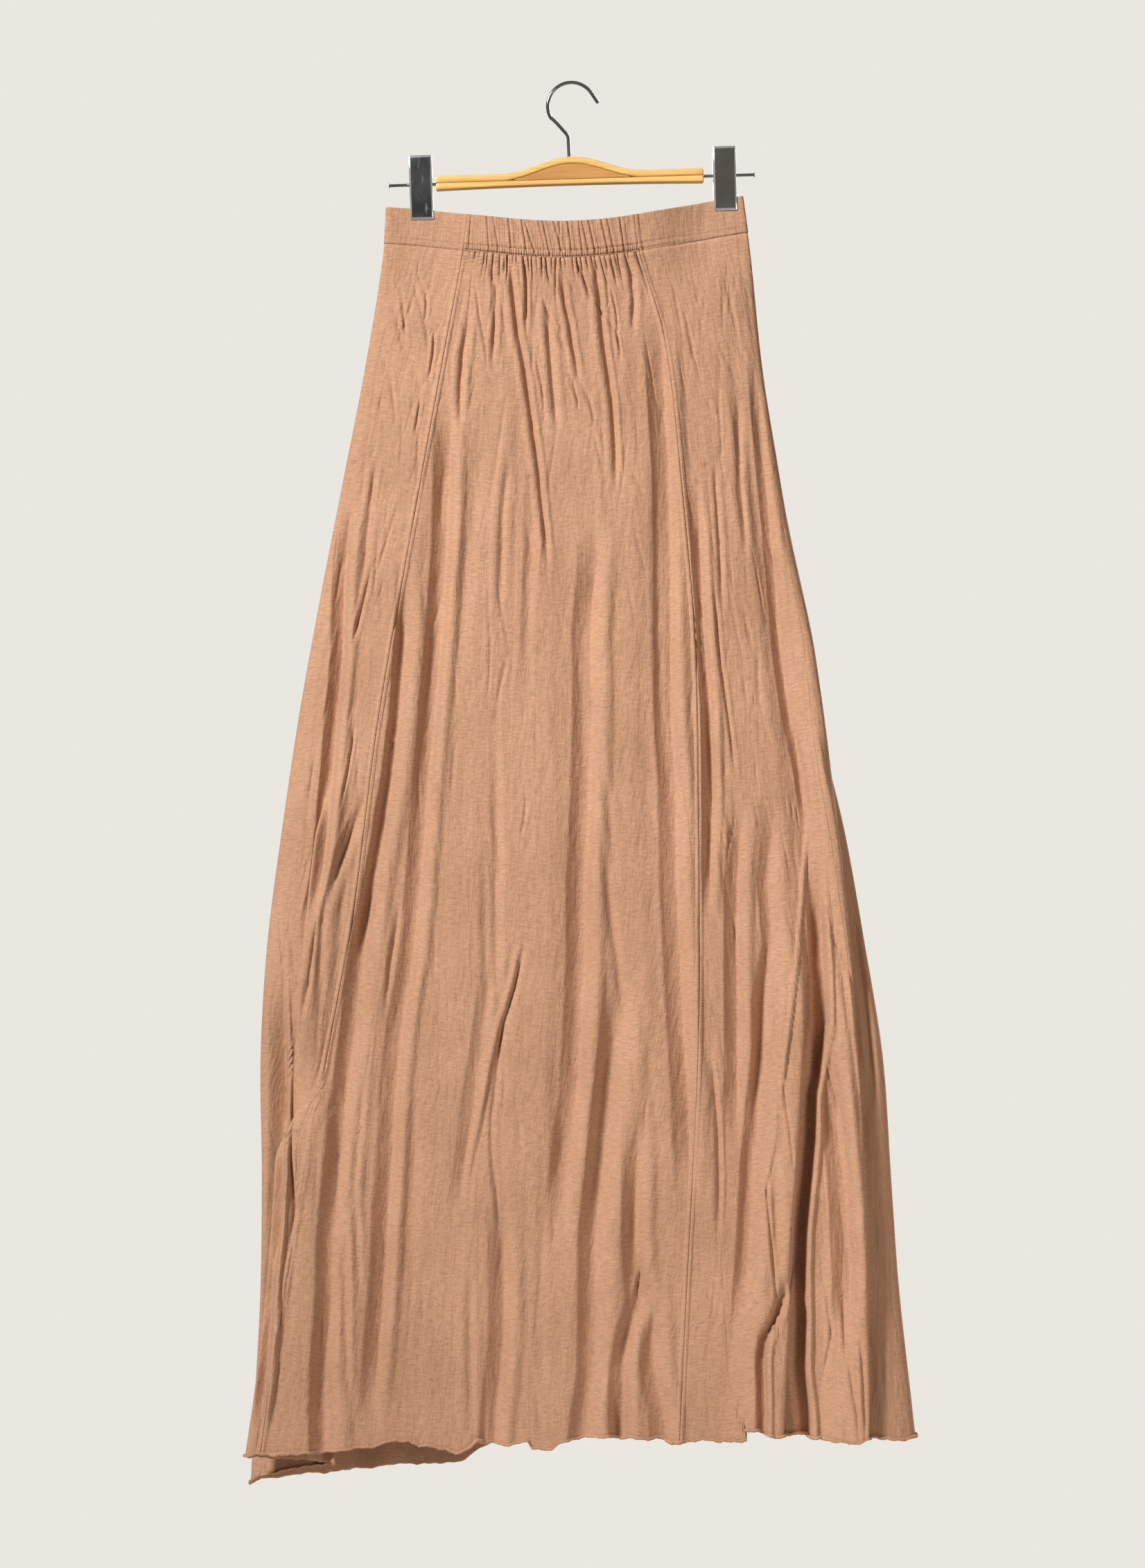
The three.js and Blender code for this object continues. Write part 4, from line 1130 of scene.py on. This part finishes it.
# a bar that starts as its left slice and is drawn out to the right, step by step
def drawnBar(name, low, high, heightAt, depth):
    half, step = bar["half"], 2 * bar["half"] / bar["steps"]
    start = heightAt(-half)
    piece = startBox(name, (-half, -depth / 2, low + start),
                     (-half + step, depth / 2, high + start))
    for count in range(bar["steps"]):
        before, after = -half + count * step, -half + (count + 1) * step
        rise = heightAt(after) - heightAt(before)
        end = before if count else after
        pickFaces(piece, lambda middle, normal: normal.x > 0.5 and middle.x > end - 0.5 * step)
        if count:
            extrude((step, 0, rise))
        else:
            push((0, 0, rise))
    return piece


gap, lamination = bar["gap"], bar["lamination"]
upper = drawnBar("barUpper", gap / 2, gap / 2 + lamination, humpAt, bar["deep"])
leaveEdit(upper, bar["edge"], 3)


def bowAt(x):
    return bar["bow"] * (1 - (x / bar["half"]) ** 2)


lower = drawnBar("barLower", -lamination - gap / 2, -gap / 2, lambda x: 0, bar["deep"])
pickPoints(lower, lambda point: point.z < -lamination / 2)
shape = bmesh.from_edit_mesh(lower.data)
for point in shape.verts:
    if point.select:
        point.co.z += bowAt((lower.matrix_world @ point.co).x / mm) * mm
bmesh.update_edit_mesh(lower.data)
leaveEdit(lower, bar["edge"], 3)

# the darker wedge under the hump, and the line of glue between the laminations
infillLook = {"thin": 0.9, "steps": 34, "inset": 0.3, "glue": 0.5, "foot": 0.3}
thinShare = (gap + infillLook["thin"]) / bar["humpHeight"]
reach = bar["humpHalf"] * (1 - 2 * math.asin(math.sqrt(thinShare)) / math.pi)
first, last = bar["humpX"] - reach, bar["humpX"] + reach
step = (last - first) / infillLook["steps"]
depth = bar["deep"] / 2 - infillLook["inset"]
infill = startBox("barInfill", (first, -depth, 0),
                  (first + step, depth, humpAt(first + step) - gap / 2))
pickPoints(infill, lambda point: (
    point.x < first + 0.5 * step and point.z > infillLook["foot"]))
push((0, 0, humpAt(first) - humpAt(first + step)))
for count in range(1, infillLook["steps"]):
    start = first + count * step
    pickFaces(infill, lambda middle, normal: normal.x > 0.5 and middle.x > start - 0.5 * step)
    extrude((step, 0, 0))
    pickPoints(infill, lambda point: (
        point.x > start + 0.5 * step and point.z > infillLook["foot"]))
    push((0, 0, humpAt(start + step) - humpAt(start)))
leaveEdit(infill)
glueEnd, glueHalf = bar["half"] - bar["edge"], infillLook["glue"] / 2
glue = startBox("glueLine", (-glueEnd, -depth, -glueHalf), (glueEnd, depth, glueHalf))
leaveEdit(glue)
bpy.ops.object.select_all(action="DESELECT")
infill.select_set(True)
glue.select_set(True)
bpy.context.view_layer.objects.active = infill
bpy.ops.object.join()
print("bar made")

# hook: a ring drawn along its line, turned a little at each step
hookLook = {
    "wire": 3, "sides": 16, "tip": (23.6, -16.6),
    "stem": ((-1.2, -78), (-1.4, -70), (-1.9, -60), (-2.35, -50), (-2.65, -46.6), (-3.9, -43.9),
             (-7.5, -39.8), (-12, -34.8), (-15.9, -31)),
    "arcMiddle": (0.3, -19.3), "arcRadius": 20.8, "arcStart": 208, "arcEnd": 37, "arcSteps": 14,
    "between": 4, "tipRound": 0.8, "tipAngle": 60,
}


def smoothLine(points, between):
    points = np.array(points, float)
    padded = np.concatenate([2 * points[:1] - points[1:2], points, 2 * points[-1:] - points[-2:-1]])
    line = []
    for low in range(len(points) - 1):
        a, b, c, d = padded[low:low + 4]
        for share in np.arange(between) / between:
            line.append(0.5 * (2 * b + (c - a) * share + (2 * a - 5 * b + 4 * c - d) * share ** 2
                               + (3 * b - a - 3 * c + d) * share ** 3))
    return line + [points[-1]]


def sweptWire(name, line, radius, sides, tipRound):
    heading = [math.atan2(*(after - before)) for before, after in zip(line, line[1:])]
    piece = startFrom(name, bpy.ops.mesh.primitive_circle_add, vertices=sides, radius=radius * mm,
                      fill_type="NGON", location=(line[0][0] * mm, 0, line[0][1] * mm))
    bpy.ops.object.mode_set(mode="EDIT")
    chooseIn("FACE", "SELECT")
    turned = 0
    for count, (before, after) in enumerate(zip(line, line[1:])):
        extrude((after[0] - before[0], 0, after[1] - before[1]))
        following = heading[min(count + 1, len(heading) - 1)]
        wanted = (heading[count] + following) / 2
        bpy.ops.transform.rotate(value=turned - wanted, orient_axis="Y", orient_type="GLOBAL",
                                 center_override=(after[0] * mm, 0, after[1] * mm))
        turned = wanted
    leaveEdit(piece, tipRound, 3, hookLook["tipAngle"], place=False)
    return piece


arcX, arcZ = hookLook["arcMiddle"]
hookPoints = list(hookLook["stem"])
arcTurns = np.linspace(hookLook["arcStart"], hookLook["arcEnd"], hookLook["arcSteps"] + 1)
for turn in np.radians(arcTurns):
    hookPoints.append((arcX + hookLook["arcRadius"] * math.cos(turn),
                       arcZ + hookLook["arcRadius"] * math.sin(turn)))
hookPoints.append(hookLook["tip"])
hook = sweptWire("hangerHook", smoothLine(hookPoints, hookLook["between"]), hookLook["wire"] / 2,
                 hookLook["sides"], hookLook["tipRound"])
print("hook made")

# rods with a flared end, drawn out in steps of a length and a growth
rodLook = {
    "radius": 1.3, "headLength": 1.5, "level": -0.5, "left": 158.2, "right": 161.8, "sides": 24,
    "inBar": 6, "flare": ((0.5, 1.12), (0.5, 1.45), (0.15, 1.08), (0.35, 1.0)), "flareMiddle": 0.5,
    "dishRim": 0.9, "dishDepth": 0.35, "edge": 0.12,
}


def makeRod(name, side, end):
    look = rodLook
    start, stop = bar["half"] - look["inBar"], end - look["headLength"]
    piece = startFrom(name, bpy.ops.mesh.primitive_cylinder_add, vertices=look["sides"],
                      radius=look["radius"] * mm, depth=(stop - start) * mm,
                      location=(side * (start + stop) / 2 * mm, 0, look["level"] * mm),
                      rotation=(0, math.radians(90), 0))
    applyPlace()
    bpy.ops.object.mode_set(mode="EDIT")
    pickFaces(piece, lambda middle, normal: side * normal.x > 0.9)
    place = [side * (stop + look["flareMiddle"]) * mm, 0, look["level"] * mm]
    for length, grow in look["flare"]:
        extrude((side * length, 0, 0))
        bpy.ops.transform.resize(value=(1, grow, grow), center_override=place)
    bpy.ops.mesh.inset(thickness=look["dishRim"] * mm, depth=-look["dishDepth"] * mm)
    leaveEdit(piece, look["edge"], 2)
    return piece


rodLeft = makeRod("rodLeft", -1, rodLook["left"])
rodRight = makeRod("rodRight", 1, rodLook["right"])

# clip jaws: a plate with a sloped rim, a lip on the cloth and two ears on the rod
clipLook = {
    "half": 10, "sheet": 1.2, "top": 23.8, "lipTop": -19, "foot": -31.2, "topGap": 9.5,
    "lipGap": 2.85, "leftX": -130, "rightX": 135.4, "rim": 1.7, "slope": 0.75,
    "earLow": -10, "earHigh": 9,
    "earSheet": 1.2, "earInside": 1.5, "earReach": (4.2, 4.3), "earTaper": 0.55, "edge": 0.28,
    "outside": 0.6, "near": 0.05, "levelNear": 0.01,
}


def makeJaw(name, side, middleX, earIn):
    look = clipLook
    near, far = side * look["lipGap"], side * (look["lipGap"] + look["sheet"])
    piece = startBox(name, (middleX - look["half"], min(near, far), look["foot"]),
                     (middleX + look["half"], max(near, far), look["top"]))
    outerEar = look["half"] - earIn
    for level in (look["lipTop"], look["earLow"], look["earHigh"]):
        cutAt(2, level)
    for place in {outerEar, outerEar - look["earSheet"]} - {look["half"]}:
        cutAt(0, middleX + place)
        cutAt(0, middleX - place)
    lean = (look["topGap"] - look["lipGap"]) / (look["top"] - look["lipTop"])
    for level in (look["earLow"], look["earHigh"], look["top"]):
        pickPoints(piece, lambda point: abs(point.z - level) < look["levelNear"])
        push((0, side * lean * (level - look["lipTop"]), 0))
    pickFaces(piece, lambda middle, normal: (
        side * normal.y < -0.5 and outerEar - look["earSheet"] < abs(middle.x - middleX) < outerEar
        and look["earLow"] < middle.z < look["earHigh"]))
    for count, length in enumerate(look["earReach"]):
        extrude((0, -side * length, 0))
        if count == 0:
            bpy.ops.transform.resize(value=(1, 1, look["earTaper"]),
                                     center_override=(middleX * mm, 0, rodLook["level"] * mm))
    pickFaces(piece, lambda middle, normal: (
        side * normal.y > 0.5 and side * middle.y > look["lipGap"] + look["outside"]))
    bpy.ops.mesh.inset(thickness=look["rim"] * mm, depth=0)
    shape = bmesh.from_edit_mesh(piece.data)
    for face in shape.faces:
        face.material_index = 1 if face.select else 0
    bmesh.update_edit_mesh(piece.data)

    def onRim(point):
        faceY = look["lipGap"] + look["sheet"] + max(0, lean * (point.z - look["lipTop"]))
        return abs(side * point.y - faceY) < look["near"] and (
            abs(point.x - middleX) > look["half"] - look["near"]
            or point.z > look["top"] - look["near"] or point.z < look["foot"] + look["near"])

    pickPoints(piece, onRim)
    push((0, -side * look["slope"], 0))
    leaveEdit(piece, look["edge"], 2)
    return piece


coilLook = {"wire": 0.55, "radius": 2.75, "turns": 9, "pitch": 1.35, "sides": 8, "steps": 20}


def makeSpring(name, middleX):
    look = coilLook
    piece = startFrom(name, bpy.ops.mesh.primitive_circle_add, vertices=look["sides"],
                      radius=look["wire"] * mm, location=(0, 0, 0),
                      rotation=(math.radians(90), 0, 0))
    bpy.ops.object.transform_apply(location=False, rotation=True, scale=True)
    bpy.ops.object.mode_set(mode="EDIT")
    bpy.ops.mesh.select_all(action="SELECT")
    push((-look["turns"] * look["pitch"] / 2, 0, look["radius"]))
    bpy.ops.object.mode_set(mode="OBJECT")
    screw = piece.modifiers.new("screw", "SCREW")
    screw.axis, screw.angle = "X", 2 * math.pi
    screw.screw_offset, screw.iterations = look["pitch"] * mm, look["turns"]
    screw.steps = screw.render_steps = look["steps"]
    bpy.ops.object.modifier_apply(modifier="screw")
    piece.location = (middleX * mm, 0, rodLook["level"] * mm)
    applyPlace()
    bpy.ops.object.mode_set(mode="EDIT")
    chooseIn("EDGE", "DESELECT")
    bpy.ops.mesh.select_non_manifold()
    bpy.ops.mesh.edge_face_add()
    bpy.ops.mesh.select_all(action="SELECT")
    bpy.ops.mesh.normals_make_consistent(inside=False)
    leaveEdit(piece)
    return piece


jaws, springs = {}, {}
for side, middleX in (("left", clipLook["leftX"]), ("right", clipLook["rightX"])):
    jaws[side, "front"] = makeJaw(f"clip{side.capitalize()}Front", -1, middleX, 0)
    jaws[side, "back"] = makeJaw(f"clip{side.capitalize()}Back", 1, middleX, clipLook["earInside"])
    springs[side] = makeSpring(f"clip{side.capitalize()}Spring", middleX)
print("clips made")

# finishes of the hanger
woodLook = {
    "pale": ((0.76, 0.44, 0.125), (0.86, 0.56, 0.19)),
    "dark": ((0.5, 0.23, 0.065), (0.62, 0.32, 0.1)),
    "grain": {"scale": 9, "stretch": (2.2, 40, 60), "detail": 6, "rough": 0.65},
    "grainAt": (0.34, 0.6), "streaks": {"scale": 30, "stretch": (0.6, 30, 40), "detail": 3},
    "streakAt": (0.35, 0.6), "streakTones": ((0.88, 0.84, 0.78), (1.03, 1.03, 1.02)),
    "surface": {"Roughness": 0.36, "Coat Weight": 0.25, "Coat Roughness": 0.3},
    "bump": (0.15, 0.0002),
}
# each metal: its dark and light tone, how rough it is and how bright its scratches are; the wire
# and the mirror faces are darkened as painted reflection of a dark room, and the mirror faces'
# blue-grey and greenish tints are painted reflection too
metalLook = {
    "chrome": ((0.8, 0.8, 0.79), (0.93, 0.93, 0.92), 0.22, 0),
    # the wire's dark tone is painted reflection: its colour is darkened to stand for the dark room
    # it mirrors
    "wire": ((0.2, 0.2, 0.19), (0.3, 0.3, 0.29), 0.16, 0),
    # mirror faces: a dark, tinted copy of the chrome as painted reflection; the scratches on the
    # worn one are real wear
    "mirrorDarkenedAsPaintedReflection": ((0.28, 0.27, 0.235), (0.33, 0.32, 0.275), 0.14, 0),
    "scratchedMirrorDarkenedAsPaintedReflection": ((0.14, 0.145, 0.16), (0.27, 0.275, 0.29), 0.16, 0.9),
    "cloud": {"scale": 60, "detail": 3}, "cloudAt": (0.35, 0.65),
    "scratches": {"scale": 150, "stretch": (2.2, 1, 0.35), "detail": 6, "rough": 0.75},
    "scratchAt": (0.6, 0.64, 0.7), "smudge": {"scale": 220, "stretch": (1, 1, 0.4), "detail": 4},
    "least": 0.7, "most": 1.5, "bump": (0.04, 0.0002),
}


def makeWood(name, tones):
    look = woodLook
    material, tree, shader = newMaterial(name)
    place = objectPlace(tree)
    streaks = noiseOn(tree, place, **look["streaks"])
    base = rampOf(tree, noiseOn(tree, place, **look["grain"]), look["grainAt"], tones)
    lines = rampOf(tree, streaks, look["streakAt"], look["streakTones"])
    tree.links.new(mixColors(tree, "MULTIPLY", base, lines), shader.inputs["Base Color"])
    setInputs(shader, look["surface"])
    tree.links.new(bumpOf(tree, streaks, *look["bump"]), shader.inputs["Normal"])
    return material


def makeMetal(name, deep, light, rough, worn):
    look = metalLook
    material, tree, shader = newMaterial(name)
    place = objectPlace(tree)
    base = rampOf(tree, noiseOn(tree, place, **look["cloud"]), look["cloudAt"], (deep, light))
    if worn:
        scratches = noiseOn(tree, place, **look["scratches"])
        marks = rampOf(tree, scratches, look["scratchAt"], ((0, 0, 0), (worn,) * 3, (0, 0, 0)))
        base = mixColors(tree, "ADD", base, marks)
    tree.links.new(base, shader.inputs["Base Color"])
    smudge = noiseOn(tree, place, **look["smudge"])
    span = tree.nodes.new("ShaderNodeMapRange")
    setInputs(shader, {"Metallic": 1})
    setInputs(span, {"To Min": rough * look["least"], "To Max": rough * look["most"]})
    tree.links.new(smudge, span.inputs["Value"])
    tree.links.new(span.outputs["Result"], shader.inputs["Roughness"])
    tree.links.new(bumpOf(tree, smudge, *look["bump"]), shader.inputs["Normal"])
    return material


paleWood = makeWood("honey lacquered wood", woodLook["pale"])
darkWood = makeWood("darker inlay wood", woodLook["dark"])
chrome = makeMetal("bright chrome rim", *metalLook["chrome"])
# the hook, rods and springs get a wire colour darkened as painted dark reflection
wire = makeMetal("polished wire darkened as painted reflection", *metalLook["wire"])
mirrorDarkenedAsPaintedReflection = makeMetal("mirror face darkened as painted reflection", *metalLook["mirrorDarkenedAsPaintedReflection"])
scratchedMirrorDarkenedAsPaintedReflection = makeMetal("scratched mirror face darkened as painted reflection", *metalLook["scratchedMirrorDarkenedAsPaintedReflection"])
dress(upper, "bar_upper", "pale_wood", paleWood)
dress(lower, "bar_lower", "pale_wood", paleWood)
dress(infill, "bar_infill", "dark_wood", darkWood)
dress(hook, "hook", "bright_metal", wire)
dress(rodLeft, "rod_left", "bright_metal", wire)
dress(rodRight, "rod_right", "bright_metal", wire)
# the clip faces get the darkened mirror metal as painted reflection, the rims the bright chrome
for side, mirror in (("left", scratchedMirrorDarkenedAsPaintedReflection), ("right", mirrorDarkenedAsPaintedReflection)):
    dress(jaws[side, "front"], f"clip_{side}_front", "bright_metal", chrome, mirror)
    dress(jaws[side, "back"], f"clip_{side}_back", "bright_metal", chrome, mirrorDarkenedAsPaintedReflection)
    dress(springs[side], f"clip_{side}_spring", "bright_metal", wire)
print("hanger finished")


# floor and light
floorLook = {
    "height": -1.62, "size": 2.6, "tones": ((0.80, 0.77, 0.73), (0.83, 0.80, 0.76)),
    "toneAt": (0.3, 0.7), "cloud": {"scale": 2}, "surface": {"Roughness": 0.9},
}
bpy.ops.mesh.primitive_plane_add(size=floorLook["size"], location=(0, 0, floorLook["height"]))
floor = bpy.context.object
floor.name = "floor"
floorMaterial, floorTree, floorShader = newMaterial("pale floor")
floorCloud = noiseOn(floorTree, objectPlace(floorTree), **floorLook["cloud"])
floorTone = rampOf(floorTree, floorCloud, floorLook["toneAt"], floorLook["tones"])
floorTree.links.new(floorTone, floorShader.inputs["Base Color"])
setInputs(floorShader, floorLook["surface"])
floor.data.materials.append(floorMaterial)

# the open colour is what the eye and mirrors see, the shade is what the cloth gets
airLook = {
    "lit": 0.1, "mirrored": 0.34,
    "open": (0.82, 0.795, 0.745, 1), "shade": (1, 0.67, 0.47, 1),
}
world = scene.world or bpy.data.worlds.new("world")
scene.world = world
world.use_nodes = True
airNodes, airLinks = world.node_tree.nodes, world.node_tree.links
backdrop = airNodes["Background"]
airPath = airNodes.new("ShaderNodeLightPath")
airTint = airNodes.new("ShaderNodeMix")
airTint.data_type = "RGBA"
setInputs(airTint, {"A": airLook["open"], "B": airLook["shade"]})
airLinks.new(airPath.outputs["Is Diffuse Ray"], airTint.inputs["Factor"])
airLinks.new(airTint.outputs["Result"], backdrop.inputs["Color"])
airBefore = None
# the room is seen brighter than it lights the cloth, and mirrors see a little more of it
for outlet, base, extra in (("Is Camera Ray", airLook["lit"], 1 - airLook["lit"]),
                            ("Is Glossy Ray", 0, airLook["mirrored"] - airLook["lit"])):
    part = airNodes.new("ShaderNodeMath")
    part.operation = "MULTIPLY_ADD"
    part.inputs[1].default_value, part.inputs[2].default_value = extra, base
    airLinks.new(airPath.outputs[outlet], part.inputs[0])
    if airBefore is not None:
        airLinks.new(airBefore, part.inputs[2])
    airBefore = part.outputs["Value"]
airLinks.new(airBefore, backdrop.inputs["Strength"])
scene.view_settings.view_transform = "Standard"


lights = {
    "key": {"place": (-3.3, -3.7, 2.2), "aim": (0.3, 0, -0.48), "size": 0.9, "power": 30.8,
            "color": (1, 0.985, 0.965), "spread": 45},
    "fill": {"place": (1.3, -0.9, -0.9), "aim": (0.2, 0, -0.9), "size": 0.6, "power": 2.6,
             "color": (1, 0.9, 0.8), "spread": 120},
    "behind": {"place": (2.0, 3.0, 1.1), "aim": (0, 0, -0.6), "size": 1.6, "power": 29,
               "color": (1, 0.985, 0.965), "spread": 80},
}


def areaLight(name, place, aim, size, power, color, spread):
    data = bpy.data.lights.new(name, "AREA")
    data.energy, data.size, data.color, data.spread = power, size, color, math.radians(spread)
    light = bpy.data.objects.new(name, data)
    light.location = place
    direction = np.array(aim) - np.array(place)
    light.rotation_euler = Vector(direction).to_track_quat("-Z", "Y").to_euler()
    scene.collection.objects.link(light)


for name, look in lights.items():
    areaLight(name, **look)
print("light and floor made")
